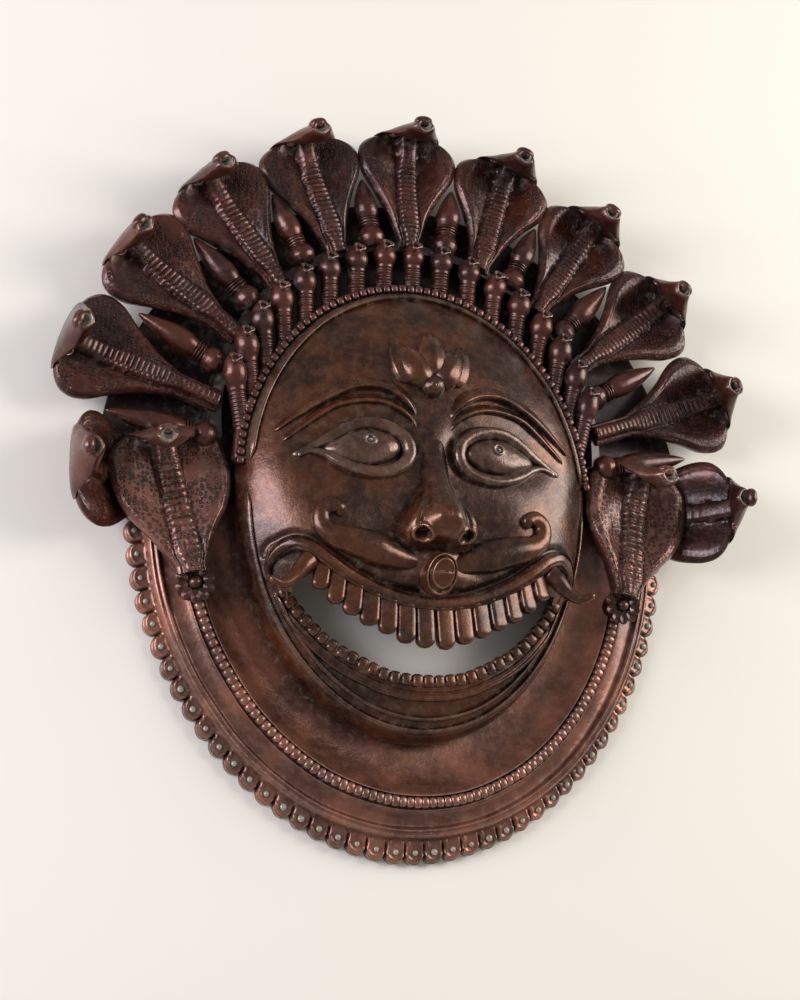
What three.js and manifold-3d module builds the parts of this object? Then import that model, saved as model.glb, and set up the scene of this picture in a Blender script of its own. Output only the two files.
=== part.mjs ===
// Bronze deity mask, lost-wax cast in one piece, lying on its back with the face up.
// Millimetres, +X to the right as seen from the front, +Y to the crown, +Z out of the face.
import * as THREE from 'three';
import { mergeVertices } from 'three/addons/utils/BufferGeometryUtils.js';
import Module from 'manifold-3d';

const wasm = await Module();
wasm.setup();

// Face: an egg-shaped shell, taller below its centre than above
const FACE = {
  halfWidth: 101,
  up: 118,
  down: 135,
  centreY: 5,
  rise: 31,
  crownEdge: 20,
  chinEdge: 12.5,
  wall: 5,
  undercut: 3,
  sides: 30,
  hollowSides: 22,
};
// How the dome's fullness and the height of its edge change from the chin to the crown
const DOME = { power: 0.7, chinFullness: 4, crownFullness: 3.2, fromY: -40, toY: 60 };
const EDGE_CHANGE = { fromY: -60, toY: 30 };
const FACE_RINGS = [0.14, 0.42, 0.64, 0.8, 0.91, 0.965];
const HOLLOW_RINGS = [0.2, 0.55, 0.8, 0.92];
const SOCKET = { x: 46, y: 23, spreadX: 30, spreadY: 15, depth: 5 };
const CHEEK = { x: 56, y: -26, spreadX: 24, spreadY: 20, rise: 4 };

// Nose: half width at the crest and at the foot, and the crest's height
const NOSE = [
  { y: 44, half: 5, foot: 8, crest: 50 },
  { y: 26, half: 4, foot: 9, crest: 54 },
  { y: 4, half: 5, foot: 12, crest: 63 },
  { y: -10, half: 7, foot: 18, crest: 71 },
  { y: -20, half: 9, foot: 23, crest: 75 },
  { y: -28, half: 9, foot: 22, crest: 72 },
  { y: -31, half: 6, foot: 17, crest: 62 },
];
const NOSE_SHOULDER = 0.62;
const NOSE_ROOT = 6;
const NOSE_FLARE = 2;
const NOSE_ROUNDING = 1;

// Brows and eyes
const BROW = { halfWidth: 7.5, height: 3.4, stations: 6, start: 0.5, end: 0.25 };
const BROW_PATH = [
  { x: 13, y: 37 },
  { x: 25, y: 51 },
  { x: 37, y: 56 },
  { x: 60, y: 46 },
  { x: 83, y: 28 },
];
const EYE = { x: 39, y: 21.5, halfLength: 20.5, halfHeight: 9.7, stand: 9, sink: 1, sides: 8, rows: 4 };
const LID = { x: 42, y: 21.5, halfLength: 29, up: 13, down: 12, gap: 2.6, power: 0.85 };
const LID_STRIP = { halfWidth: 2.6, height: 3.2, stations: 6, start: 0.5, end: 0.5 };

// Mouth: a wide grin, deepest in the middle
const MOUTH = {
  halfWidth: 77,
  openingHalf: 71,
  upperMiddle: -59,
  upperSweep: 31,
  lowerMiddle: -100,
  lowerSweep: 38,
  lowerPower: 2.2,
  rootMiddle: 7,
  rootSweep: 10,
  cornerX: 70,
};
const OPENING = { steps: 10, margin: 1, leastGap: 2, from: -5, depth: 90 };
const LIP = { halfSpan: 70, upperOffset: -3, lowerOffset: -6, lowerSink: 3 };
const LIP_STRIP = { halfWidth: 3.6, height: 4.5, stations: 8, start: 0.6, end: 0.6 };
const UPPER_TEETH = { aSide: 7, first: 5.6, pitch: 10.6, closing: 0.22, stand: 4, root: 2 };
const TOOTH_BEVEL = 0.7;
const TOOTH_DEPTH = 7;
const TOOTH_MIDDLE = { tall: 22, half: 4.9 };
const TOOTH_CORNER = { tall: 13, half: 3.7 };
const LOWER_TEETH = {
  count: 13,
  halfSpan: 66,
  tall: 5,
  step: 2,
  stand: 1,
  depth: 6,
  below: 2,
  chamfer: 1,
};
const TUSK = [
  { x: 66, y: -42, z: 42 },
  { x: 73, y: -49, z: 44 },
  { x: 82, y: -55, z: 46 },
  { x: 91, y: -52, z: 49 },
];
const TUSK_STRIP = { halfWidth: 4.8, height: 4.8, stations: 4, start: 1, end: 0.3 };
const MOUSTACHE = [
  { x: 6, y: -47 },
  { x: 24, y: -40 },
  { x: 45, y: -31 },
  { x: 61, y: -24 },
  { x: 63, y: -16 },
  { x: 57, y: -14 },
];
const MOUSTACHE_STRIP = { halfWidth: 8, height: 8, stations: 8, start: 0.35, end: 0.45 };
const MOUSTACHE_LIFT = 2;
const PHILTRUM = { y: -48, z: 48, halfWidth: 8, halfLength: 12, stand: 12, sides: 8, rows: 4 };

// Lotus bud on the forehead: middle petal, side petals and the ball below
const LOTUS_MIDDLE = { x: 0, y: 87, lean: 0, halfLength: 17, halfWidth: 8, stand: 5 };
const LOTUS_SIDE = { x: 12, y: 76, lean: -30, halfLength: 14, halfWidth: 6, stand: 4 };
const LOTUS_BALL = { x: 0, y: 58, lean: 0, halfLength: 6, halfWidth: 6, stand: 6 };
const LOTUS_SIDES = 6;
const LOTUS_ROWS = 3;

// Collar: one section of the dished crescent, its heights at the sides and at the bottom
const COLLAR = { centreY: -5, span: 91, stations: 22, petals: 45 };
const NOTCH = { depth: 9, halfAngle: 0.9, over: 2, levels: [-1, 9] };
const CHAIN = { halfWidth: 127, down: 156 };
const RIDGE = { halfWidth: 145, down: 172 };
const RIM = { halfWidth: 157.5, down: 187, power: 1.9 };
const COLLAR_TOP = [
  { halfWidth: FACE.halfWidth - 7, down: FACE.down - 17, side: 4.5, bottom: 5.5 },
  { halfWidth: CHAIN.halfWidth - 14, down: CHAIN.down - 14, side: 6.5, bottom: 9 },
  { halfWidth: CHAIN.halfWidth - 2, down: CHAIN.down - 2, side: 14, bottom: 19 },
  { halfWidth: CHAIN.halfWidth + 4, down: CHAIN.down + 4, side: 11, bottom: 15 },
  { halfWidth: RIDGE.halfWidth - 5, down: RIDGE.down - 5, side: 9.5, bottom: 11 },
  { halfWidth: RIDGE.halfWidth - 1, down: RIDGE.down - 1, side: 12, bottom: 13 },
  { halfWidth: RIDGE.halfWidth + 3, down: RIDGE.down + 3, side: 6, bottom: 7 },
  { halfWidth: RIM.halfWidth, down: RIM.down, power: RIM.power, side: 4.6, bottom: 5.4 },
];
const COLLAR_UNDER = [
  { halfWidth: RIM.halfWidth, down: RIM.down, power: RIM.power, side: 0, bottom: 0 },
  { halfWidth: RIDGE.halfWidth + 1, down: RIDGE.down + 1, side: 0, bottom: 0 },
  { halfWidth: RIDGE.halfWidth - 3, down: RIDGE.down - 3, side: 6, bottom: 7 },
  { halfWidth: CHAIN.halfWidth, down: CHAIN.down, side: 8, bottom: 12 },
  { halfWidth: CHAIN.halfWidth - 16, down: CHAIN.down - 17, side: 0, bottom: 0 },
  { halfWidth: FACE.halfWidth - 7, down: FACE.down - 17, side: 0, bottom: 0 },
];

// Crown: a hoop on a thin back, spikes and hooded cobras outside it, small nagas inside it
const HOOP = { centreY: 40, radius: 115, width: 7, height: 19, fall: 1.5, span: 95, stations: 24 };
const FAN = { centreY: 10, backRadius: 172, backThickness: 3, faceOverlap: 0.03 };
const BEAD_BAND = { span: 86, stations: 20 };
const BEAD_SECTION = [[0.93, -6], [1.03, -8], [1.03, 4], [1, 6], [0.975, 3], [0.95, 4.5]];
const SPIKE = { level: 17, tipRadius: 183, sides: 5, radius: 7.5, rootDepth: 3 };
const SPIKE_ANGLES = [8.7, 26, 43.2, 61, 80];
const SPIKE_PROFILE = [[0, 0], [0.65, 0], [1, 0.16], [0.6, 0.33], [0.92, 0.5], [0.67, 0.74], [0, 1]];
const NAGA = { pairs: 8, step: 8.9, headRadius: 112, radius: 6, sides: 5, lift: 12, spread: 1.07, root: 0.99 };
const NAGA_PROFILE = [[0, 0], [0.65, 0], [0.63, 0.35], [1, 0.72], [0, 1]];

// Cobra: hood width and thickness by distance down from its top edge, then the head bent forward
const HOOD = {
  radius: 211,
  angles: [0, 17.6, 34.8, 52.1, 70.4],
  closing: 1.2,
  halfWidth: 28.5,
  neck: 6.3,
  shoulder: 12,
  shoulderCut: 0.9,
  flare: 1.35,
  length: 65,
  level: 21,
  rows: [44, 24, 6],
  dish: 6,
  dishShare: 0.22,
  dishAt: 0.66,
  backShare: 0.5,
  bandShare: 0.5,
  bandFoot: 0.7,
  bandHalf: 8,
  bandLow: 1.5,
  bandHigh: 8.5,
  bandFrom: 26,
  thin: 5,
  thick: 9,
  root: 4,
  bend: 76,
};
const HEAD_STEP = 1;
const HEAD = [
  { rise: 7, lean: 50, half: 14, belly: 6, thick: 3.5 },
  { rise: 17, lean: 80, half: 9, belly: 6, thick: 3.5 },
  { rise: 29, lean: 90, half: 4.5, belly: 4.5, thick: 3 },
];
const LOWEST_HOOD = { angle: 91, radius: 190, level: 10, raise: 25, bend: 34, thick: 5 };
const EAR_COBRA = {
  x: 141,
  y: 33,
  angle: 12,
  body: 80,
  halfWidth: 31,
  length: 72,
  level: 25,
  raise: -7,
  bend: 80,
  thick: 13,
};
const ROSETTE = { x: 122.5, y: -50, radius: 10, top: 23, depth: 14, sides: 10 };

// Bronze, brown patina
const PATINA = { color: 0x4a2e26, roughness: 0.42, metalness: 0.85 };

// Seams: corners closer than this are one, and a triangle lower than this is a sliver
const CLOSE = 0.08;
const SLIVER = 0.02;
const SEAM_ROUNDS = 12;

const degrees = THREE.MathUtils.degToRad;
const smooth = THREE.MathUtils.smoothstep;
const mix = THREE.MathUtils.lerp;
const spread = (count, make) => Array.from({ length: count }, (_, i) => make(i));

// A closed solid from shared points and triangles, turned so that its faces point out
function solidFrom(points, triangles) {
  const volume = triangles.reduce((sum, [a, b, c]) => {
    const cross = new THREE.Vector3().crossVectors(points[b], points[c]);
    return sum + points[a].dot(cross);
  }, 0);
  const turned = volume > 0 ? triangles : triangles.map(([a, b, c]) => [a, c, b]);
  const mesh = new wasm.Mesh({
    numProp: 3,
    vertProperties: new Float32Array(points.flatMap((p) => [p.x, p.y, p.z])),
    triVerts: new Uint32Array(turned.flat()),
  });
  return new wasm.Manifold(mesh);
}

// A closed three.js geometry as a solid
function solidOf(geometry) {
  geometry.deleteAttribute('normal');
  geometry.deleteAttribute('uv');
  const merged = mergeVertices(geometry);
  const place = merged.getAttribute('position');
  const points = spread(place.count, (i) => new THREE.Vector3().fromBufferAttribute(place, i));
  const corners = Array.from(merged.index.array);
  const triangles = spread(corners.length / 3, (i) => corners.slice(3 * i, 3 * i + 3));
  return solidFrom(points, triangles.filter(([a, b, c]) => a !== b && b !== c && c !== a));
}

// The corners of a solid, and its triangles as triples of corner numbers
function cornersOf(solid) {
  const { vertProperties, triVerts } = solid.getMesh();
  const pointAt = (i) => new THREE.Vector3().fromArray(vertProperties, 3 * i);
  const triangleAt = (i) => Array.from(triVerts.slice(3 * i, 3 * i + 3));
  return {
    points: spread(vertProperties.length / 3, pointAt),
    triangles: spread(triVerts.length / 3, triangleAt),
  };
}

// The same solid on the other side of X = 0
function mirrored(solid) {
  const { points, triangles } = cornersOf(solid);
  return solidFrom(points.map(({ x, y, z }) => new THREE.Vector3(-x, y, z)), triangles);
}

const edgesOf = ([a, b, c]) => [[a, b, c], [b, c, a], [c, a, b]];

// Corners that lie closer than CLOSE become one, where that leaves the skin whole
function closeSeams(points, triangles) {
  const around = new Map();
  triangles.forEach((face) => edgesOf(face).forEach(([a, b]) => {
    if (!around.has(a)) around.set(a, new Set());
    around.get(a).add(b);
  }));
  const moved = new Map();
  const held = new Set();
  triangles.forEach((face) => edgesOf(face).forEach(([a, b]) => {
    const shared = [...around.get(a)].filter((c) => around.get(b).has(c));
    const free = ![a, b, ...around.get(a), ...around.get(b)].some((c) => held.has(c));
    if (free && shared.length === 2 && points[a].distanceTo(points[b]) < CLOSE) {
      moved.set(b, a);
      [a, b, ...around.get(a), ...around.get(b)].forEach((c) => held.add(c));
    }
  }));
  return triangles
    .map((face) => face.map((corner) => moved.get(corner) ?? corner))
    .filter(([a, b, c]) => a !== b && b !== c && c !== a);
}

// A triangle all but flat on its long edge swaps that edge for the other diagonal
function turnSlivers(points, triangles) {
  const faceAt = new Map();
  triangles.forEach((face, order) => edgesOf(face).forEach(([a, b]) => faceAt.set(`${a} ${b}`, order)));
  const turned = triangles.map((face) => face);
  const held = new Set();
  triangles.forEach((face, order) => {
    const sides = edgesOf(face).map(([a, b, c]) => ({ a, b, c, long: points[a].distanceTo(points[b]) }));
    const { a, b, c, long } = sides.sort((one, other) => other.long - one.long)[0];
    const area = new THREE.Triangle(points[a], points[b], points[c]).getArea();
    const other = faceAt.get(`${b} ${a}`);
    const d = triangles[other].find((corner) => corner !== a && corner !== b);
    const free = ![a, b, c, d].some((corner) => held.has(corner));
    if (2 * area < SLIVER * long && free && !faceAt.has(`${c} ${d}`) && !faceAt.has(`${d} ${c}`)) {
      turned[order] = [a, d, c];
      turned[other] = [d, b, c];
      [a, b, c, d].forEach((corner) => held.add(corner));
    }
  });
  return turned;
}

// The triangles' corners in a row, with clean seams
function cleanSeams({ points, triangles }) {
  let faces = triangles;
  for (let round = 0; round < SEAM_ROUNDS; round += 1) {
    faces = turnSlivers(points, closeSeams(points, faces));
  }
  return faces.flatMap((face) => face.map((corner) => points[corner]));
}

const joined = (parts) => parts.reduce((all, part) => all.add(part));

// A closed skin over a row of like sections, each a ring of flat points that place() sets in space
function skin(sections, place) {
  const sides = sections[0].length;
  const last = sections.length - 1;
  const points = sections.flatMap((ring, row) => ring.map((p, k) => place(p, row, k)));
  const triangles = [];
  for (let row = 0; row < last; row += 1) {
    for (let k = 0; k < sides; k += 1) {
      const a = row * sides + k;
      const b = row * sides + ((k + 1) % sides);
      triangles.push([a, b, b + sides], [a, b + sides, a + sides]);
    }
  }
  const clockwise = THREE.ShapeUtils.isClockWise(sections[0]);
  const cap = (row, turned) => THREE.ShapeUtils.triangulateShape(sections[row], [])
    .map(([a, b, c]) => (turned ? [a, c, b] : [a, b, c]))
    .map((face) => face.map((k) => row * sides + k));
  triangles.push(...cap(0, !clockwise), ...cap(last, clockwise));
  return solidFrom(points, triangles);
}

// Sections of a strip, in half widths across and in heights above its path
const RIDGED = [[-1, -1.4], [1, -1.4], [0.9, 0.3], [0, 1], [-0.9, 0.3]];
const GROOVED = [[-1, -1.2], [1, -1.2], [0.85, 0.9], [0, 0.2], [-0.85, 1]];
const ROUNDED = [[-0.5, -0.9], [0.5, -0.9], [1, 0], [0.5, 0.9], [-0.5, 0.9], [-1, 0]];

// A strip along a path, standing upright, full in the middle and slimmer at its two ends
function strip(path, section, { stations, halfWidth, height, start, end }) {
  const curve = new THREE.CatmullRomCurve3(path);
  const rings = spread(stations + 1, () => section.map(([x, y]) => new THREE.Vector2(x, y)));
  return skin(rings, (p, row) => {
    const share = row / stations;
    const full = mix(mix(start, end, share), 1, Math.sin(Math.PI * share));
    const along = curve.getTangentAt(share).setZ(0).normalize();
    const at = curve.getPointAt(share);
    at.addScaledVector(new THREE.Vector3(along.y, -along.x, 0), p.x * halfWidth * full);
    at.z += p.y * height * full;
    return at;
  });
}

// Face outline and height
function facePoint(angle, reach) {
  const up = Math.cos(angle);
  const x = FACE.halfWidth * reach * Math.sin(angle);
  const y = FACE.centreY + reach * up * (up > 0 ? FACE.up : FACE.down);
  return new THREE.Vector2(x, y);
}

function faceReach(x, y) {
  const tall = y > FACE.centreY ? FACE.up : FACE.down;
  return Math.min(1, Math.hypot(x / FACE.halfWidth, (y - FACE.centreY) / tall));
}

function faceEdge(y) {
  return mix(FACE.chinEdge, FACE.crownEdge, smooth(y, EDGE_CHANGE.fromY, EDGE_CHANGE.toY));
}

function swelling(x, y, { x: centreX, y: centreY, spreadX, spreadY }) {
  return Math.exp(-(((x - centreX) / spreadX) ** 2) - (((y - centreY) / spreadY) ** 2));
}

function faceHeight(x, y) {
  const fullness = mix(DOME.chinFullness, DOME.crownFullness, smooth(y, DOME.fromY, DOME.toY));
  const dome = FACE.rise * (1 - faceReach(x, y) ** fullness) ** DOME.power;
  const socket = SOCKET.depth * swelling(Math.abs(x), y, SOCKET);
  const cheek = CHEEK.rise * swelling(Math.abs(x), y, CHEEK);
  return faceEdge(y) + dome - socket + cheek;
}

const onFace = ({ x, y }, lift = 0) => new THREE.Vector3(x, y, faceHeight(x, y) + lift);

// Rings round the face's centre, from the first near it to the last at the floor
function ringed(sides, rings) {
  const around = spread(sides, (k) => (k / sides) * 2 * Math.PI);
  const sections = rings.map(({ reach }) => around.map((angle) => facePoint(angle, reach)));
  return skin(sections, (p, row) => new THREE.Vector3(p.x, p.y, rings[row].level(p.x, p.y)));
}

function faceShell() {
  const neck = 1 - FACE.undercut / FACE.halfWidth;
  return ringed(FACE.sides, [
    ...FACE_RINGS.map((reach) => ({ reach, level: faceHeight })),
    { reach: 1, level: (x, y) => faceEdge(y) },
    { reach: 1, level: (x, y) => faceEdge(y) - FACE.undercut },
    { reach: neck, level: (x, y) => faceEdge(y) - 2 * FACE.undercut },
    { reach: neck, level: () => 0 },
  ]);
}

// The hollow behind the face, one wall in from the shell's neck
const HOLLOW_REACH = 1 - (FACE.undercut + FACE.wall) / FACE.halfWidth;

function faceHollow() {
  const inside = (x, y) => {
    const outerY = (y - FACE.centreY) / HOLLOW_REACH + FACE.centreY;
    return faceHeight(x / HOLLOW_REACH, outerY) - FACE.wall;
  };
  return ringed(FACE.hollowSides, [
    ...HOLLOW_RINGS.map((reach) => ({ reach: reach * HOLLOW_REACH, level: inside })),
    { reach: HOLLOW_REACH, level: (x, y) => faceEdge(y) - FACE.wall },
    { reach: HOLLOW_REACH, level: () => -FACE.undercut },
  ]);
}

// Nose: a ridge widening to the wings
function nose() {
  const sections = NOSE.map(({ y, half, foot, crest }) => {
    const base = faceHeight(0, y) - NOSE_ROOT;
    const shoulder = mix(base, crest, NOSE_SHOULDER);
    const round = crest - NOSE_ROUNDING;
    const wide = foot + NOSE_FLARE;
    const side = [[wide, base], [foot, shoulder], [half, round], [0, crest]];
    const other = [[-half, round], [-foot, shoulder], [-wide, base]];
    return [...side, ...other].map(([x, z]) => new THREE.Vector2(x, z));
  });
  return skin(sections, (p, row) => new THREE.Vector3(p.x, NOSE[row].y, p.y));
}

// Brow: two bands with a groove between, arched over the eye
const brow = () => strip(BROW_PATH.map((at) => onFace(at)), GROOVED, BROW);

// Lid: an arched line over or under the eye, reach giving its bow and on which side
function lid(reach) {
  const { stations } = LID_STRIP;
  const path = spread(stations + 1, (i) => {
    const share = i / stations;
    const bow = LID.gap + (Math.abs(reach) - LID.gap) * Math.sin(Math.PI * share ** LID.power);
    return onFace({ x: LID.x + LID.halfLength * (2 * share - 1), y: LID.y + Math.sign(reach) * bow });
  });
  return strip(path, RIDGED, LID_STRIP);
}

// Eye: a long ball between two lids
function eye() {
  const ball = new THREE.SphereGeometry(1, EYE.sides, EYE.rows);
  ball.scale(EYE.halfLength, EYE.halfHeight, EYE.stand);
  ball.translate(EYE.x, EYE.y, faceHeight(EYE.x, EYE.y) - EYE.sink);
  return joined([solidOf(ball), lid(LID.up), lid(-LID.down)]);
}

function leaf({ x, y, lean, halfLength, halfWidth, stand }) {
  const shape = new THREE.SphereGeometry(1, LOTUS_SIDES, LOTUS_ROWS);
  shape.scale(halfWidth, halfLength, stand);
  shape.rotateZ(degrees(lean));
  shape.translate(x, y, faceHeight(x, y));
  return solidOf(shape);
}

function lotus() {
  const side = leaf(LOTUS_SIDE);
  return joined([leaf(LOTUS_MIDDLE), side, mirrored(side), leaf(LOTUS_BALL)]);
}

// The lip line, the roots of the upper teeth and the lower edge of the opening
const upperLine = (x) => MOUTH.upperMiddle + MOUTH.upperSweep * (x / MOUTH.cornerX) ** 2;
const rootDrop = (x) => MOUTH.rootMiddle + MOUTH.rootSweep * (x / MOUTH.cornerX) ** 2;
const rootLine = (x) => upperLine(x) - rootDrop(x);
const lowerLift = (x) => MOUTH.lowerSweep * Math.abs(x / MOUTH.cornerX) ** MOUTH.lowerPower;
const lowerLine = (x) => MOUTH.lowerMiddle + lowerLift(x);

function lip(line, offset, lift) {
  const { stations } = LIP_STRIP;
  const path = spread(stations + 1, (i) => {
    const x = LIP.halfSpan * ((2 * i) / stations - 1);
    return onFace({ x, y: line(x) + offset }, lift);
  });
  return strip(path, RIDGED, LIP_STRIP);
}

function mouthOpening() {
  const { steps, margin, leastGap, from, depth } = OPENING;
  const along = spread(steps + 1, (i) => MOUTH.openingHalf * ((2 * i) / steps - 1));
  const above = along.map((x) => new THREE.Vector2(x, rootLine(x) + margin));
  const below = along.slice(1, -1).reverse()
    .map((x) => new THREE.Vector2(x, Math.min(lowerLine(x) + margin, rootLine(x) - leastGap)));
  const shape = new THREE.Shape([...above, ...below]);
  const opening = new THREE.ExtrudeGeometry(shape, { depth, bevelEnabled: false });
  opening.translate(0, 0, from);
  return solidOf(opening);
}

// Upper teeth: long in the middle, short at the corners, bevelled in front
function upperTooth(x) {
  const away = Math.abs(x) / MOUTH.halfWidth;
  const tall = mix(TOOTH_MIDDLE.tall, TOOTH_CORNER.tall, away);
  const half = mix(TOOTH_MIDDLE.half, TOOTH_CORNER.half, away);
  const root = rootLine(x);
  const front = faceHeight(x, root) + UPPER_TEETH.stand;
  const flat = TOOTH_BEVEL * half;
  const section = [[-half, -TOOTH_DEPTH], [half, -TOOTH_DEPTH], [flat, 0], [-flat, 0]];
  const ends = [root + UPPER_TEETH.root, root - tall];
  const rings = ends.map(() => section.map(([across, z]) => new THREE.Vector2(across, z)));
  return skin(rings, (p, row) => new THREE.Vector3(x + p.x, ends[row], front + p.y));
}

function upperTeeth() {
  const { aSide, first, pitch, closing } = UPPER_TEETH;
  const places = spread(aSide, (i) => first + i * pitch - i * i * closing);
  return joined(places.flatMap((x) => [upperTooth(x), upperTooth(-x)]));
}

// Lower teeth: one low band, its small teeth left as steps
function lowerTeeth() {
  const { count, halfSpan, tall, step, stand, depth, below, chamfer } = LOWER_TEETH;
  const steps = 2 * count;
  const rows = spread(steps + 1, (i) => {
    const x = halfSpan * (i / count - 1);
    const base = lowerLine(x) - below;
    return { x, base, front: faceHeight(x, base) + stand, top: i % 2 ? tall : tall - step };
  });
  const outline = (top) => [[0, -depth], [top, -depth], [top, -chamfer], [0, chamfer]];
  const rings = rows.map(({ top }) => outline(top).map(([y, z]) => new THREE.Vector2(y, z)));
  return skin(rings, (p, row) => {
    const { x, base, front } = rows[row];
    return new THREE.Vector3(x, base + p.x, front + p.y);
  });
}

const tusk = () => strip(TUSK.map(({ x, y, z }) => new THREE.Vector3(x, y, z)), ROUNDED, TUSK_STRIP);

// Moustache: a spindle each side of the lip, curled up at its end
const moustache = () => strip(MOUSTACHE.map((at) => onFace(at, MOUSTACHE_LIFT)), ROUNDED, MOUSTACHE_STRIP);

function philtrum() {
  const oval = new THREE.SphereGeometry(1, PHILTRUM.sides, PHILTRUM.rows);
  oval.scale(PHILTRUM.halfWidth, PHILTRUM.halfLength, PHILTRUM.stand);
  oval.translate(0, PHILTRUM.y, PHILTRUM.z);
  return solidOf(oval);
}

// Collar lines are ellipses about one centre, the rim a slightly pointed one
function collarPoint(angle, { halfWidth, down, power = 2 }) {
  const across = Math.sin(angle);
  const along = Math.cos(angle);
  const reach = (Math.abs(across) ** power + Math.abs(along) ** power) ** (-1 / power);
  return new THREE.Vector2(halfWidth * reach * across, COLLAR.centreY - down * reach * along);
}

function collar() {
  const lines = [...COLLAR_TOP, ...COLLAR_UNDER];
  const section = lines.map(({ halfWidth, side }) => new THREE.Vector2(halfWidth, side));
  return skin(spread(COLLAR.stations + 1, () => section), (p, row, k) => {
    const angle = degrees(mix(-COLLAR.span, COLLAR.span, row / COLLAR.stations));
    const at = collarPoint(angle, lines[k]);
    return new THREE.Vector3(at.x, at.y, mix(lines[k].side, lines[k].bottom, Math.cos(angle) ** 2));
  });
}

// Notches part the collar's edge into petals
function petalNotch(order) {
  const angle = mix(-COLLAR.span, COLLAR.span, order / COLLAR.petals);
  const rimMoved = (by) => ({ ...RIM, halfWidth: RIM.halfWidth + by, down: RIM.down + by });
  const outline = [
    collarPoint(degrees(angle - NOTCH.halfAngle), rimMoved(NOTCH.over)),
    collarPoint(degrees(angle), rimMoved(-NOTCH.depth)),
    collarPoint(degrees(angle + NOTCH.halfAngle), rimMoved(NOTCH.over)),
  ];
  const sections = NOTCH.levels.map(() => outline);
  return skin(sections, (p, row) => new THREE.Vector3(p.x, p.y, NOTCH.levels[row]));
}

// Crown back: seen dark between the hoods, with the hoop standing on it
function crownBack() {
  const inside = HOOP.radius - HOOP.width;
  const profile = [
    { line: 'neck', z: 0 },
    { line: 'back', z: 0 },
    { line: 'back', z: FAN.backThickness },
    { line: 'outside', z: FAN.backThickness },
    { line: 'outside', z: HOOP.height - HOOP.fall },
    { line: 'inside', z: HOOP.height },
    { line: 'inside', z: FAN.backThickness },
    { line: 'neck', z: FAN.backThickness },
  ];
  const lines = {
    neck: { order: 0, at: (angle) => facePoint(angle, HOLLOW_REACH + FAN.faceOverlap) },
    inside: { order: 1, at: (angle) => aboutCentre(angle, inside, HOOP.centreY) },
    outside: { order: 2, at: (angle) => aboutCentre(angle, HOOP.radius, HOOP.centreY) },
    back: { order: 3, at: (angle) => aboutCentre(angle, FAN.backRadius, FAN.centreY) },
  };
  const section = profile.map(({ line, z }) => new THREE.Vector2(lines[line].order, z));
  return skin(spread(HOOP.stations + 1, () => section), (p, row, k) => {
    const at = lines[profile[k].line].at(degrees(mix(-HOOP.span, HOOP.span, row / HOOP.stations)));
    return new THREE.Vector3(at.x, at.y, p.y);
  });
}

function aboutCentre(angle, radius, centreY) {
  return new THREE.Vector2(radius * Math.sin(angle), centreY + radius * Math.cos(angle));
}

// Bead band and rolled rim, one ridge over the forehead from side to side
function beadBand() {
  const section = BEAD_SECTION.map(([reach, z]) => new THREE.Vector2(reach, z));
  return skin(spread(BEAD_BAND.stations + 1, () => section), (p, row) => {
    const at = facePoint(degrees(mix(-BEAD_BAND.span, BEAD_BAND.span, row / BEAD_BAND.stations)), p.x);
    return new THREE.Vector3(at.x, at.y, FACE.crownEdge + p.y);
  });
}

// A turned form laid out from a point, along a heading seen from the front
function laidTurning(profile, sides, from, heading, lift) {
  const shape = new THREE.LatheGeometry(profile, sides);
  shape.rotateX(degrees(lift));
  shape.rotateZ(-heading);
  shape.translate(from.x, from.y, from.z);
  return solidOf(shape);
}

const scaledProfile = (profile, radius, length) => profile
  .map(([r, share]) => new THREE.Vector2(r * radius, share * length));

// Distance from the fan's centre to the hoop, along a heading
function hoopReach(heading) {
  const rise = HOOP.centreY - FAN.centreY;
  return rise * Math.cos(heading) + Math.sqrt(HOOP.radius ** 2 - (rise * Math.sin(heading)) ** 2);
}

// Spike: a ball, a neck ring and a long pointed bud
function spike(heading) {
  const start = hoopReach(heading) - SPIKE.rootDepth;
  const profile = scaledProfile(SPIKE_PROFILE, SPIKE.radius, SPIKE.tipRadius - start);
  const { x, y } = aboutCentre(heading, start, FAN.centreY);
  return laidTurning(profile, SPIKE.sides, new THREE.Vector3(x, y, SPIKE.level), heading, 0);
}

// Small naga: a tapered body and a pointed bulb of a head
function smallNaga(step) {
  const heading = degrees(step * NAGA.step);
  const root = facePoint(heading * NAGA.spread, NAGA.root);
  const along = aboutCentre(heading, NAGA.headRadius, HOOP.centreY).sub(root);
  const profile = scaledProfile(NAGA_PROFILE, NAGA.radius, along.length());
  const from = new THREE.Vector3(root.x, root.y, FACE.crownEdge);
  return laidTurning(profile, NAGA.sides, from, Math.atan2(along.x, along.y), NAGA.lift);
}

// Half width of a hood at a distance down from its top edge
function hoodHalfWidth(down, halfWidth, length) {
  if (down < HOOD.shoulder) {
    return halfWidth * Math.sqrt(1 - (HOOD.shoulderCut * (1 - down / HOOD.shoulder)) ** 2);
  }
  const share = Math.min(1, (down - HOOD.shoulder) / (length - HOOD.shoulder));
  return mix(HOOD.neck, halfWidth, Math.cos((share * Math.PI) / 2) ** HOOD.flare);
}

// One cross-section of a cobra: dished front with a belly band, flat back
function cobraSection({ half, belly, thick }) {
  const band = Math.min(HOOD.bandHalf, half * HOOD.bandShare);
  const dip = Math.min(HOOD.dish, half * HOOD.dishShare);
  const foot = -HOOD.bandFoot * dip;
  const dished = HOOD.dishAt * half;
  const flat = HOOD.backShare * half;
  const front = [[-half, 0], [-dished, -dip], [-band, foot], [0, belly]];
  const other = [[band, foot], [dished, -dip], [half, 0]];
  const back = [[flat, -dip - thick], [-flat, -dip - thick]];
  return [...front, ...other, ...back].map(([x, z]) => new THREE.Vector2(x, z));
}

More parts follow.
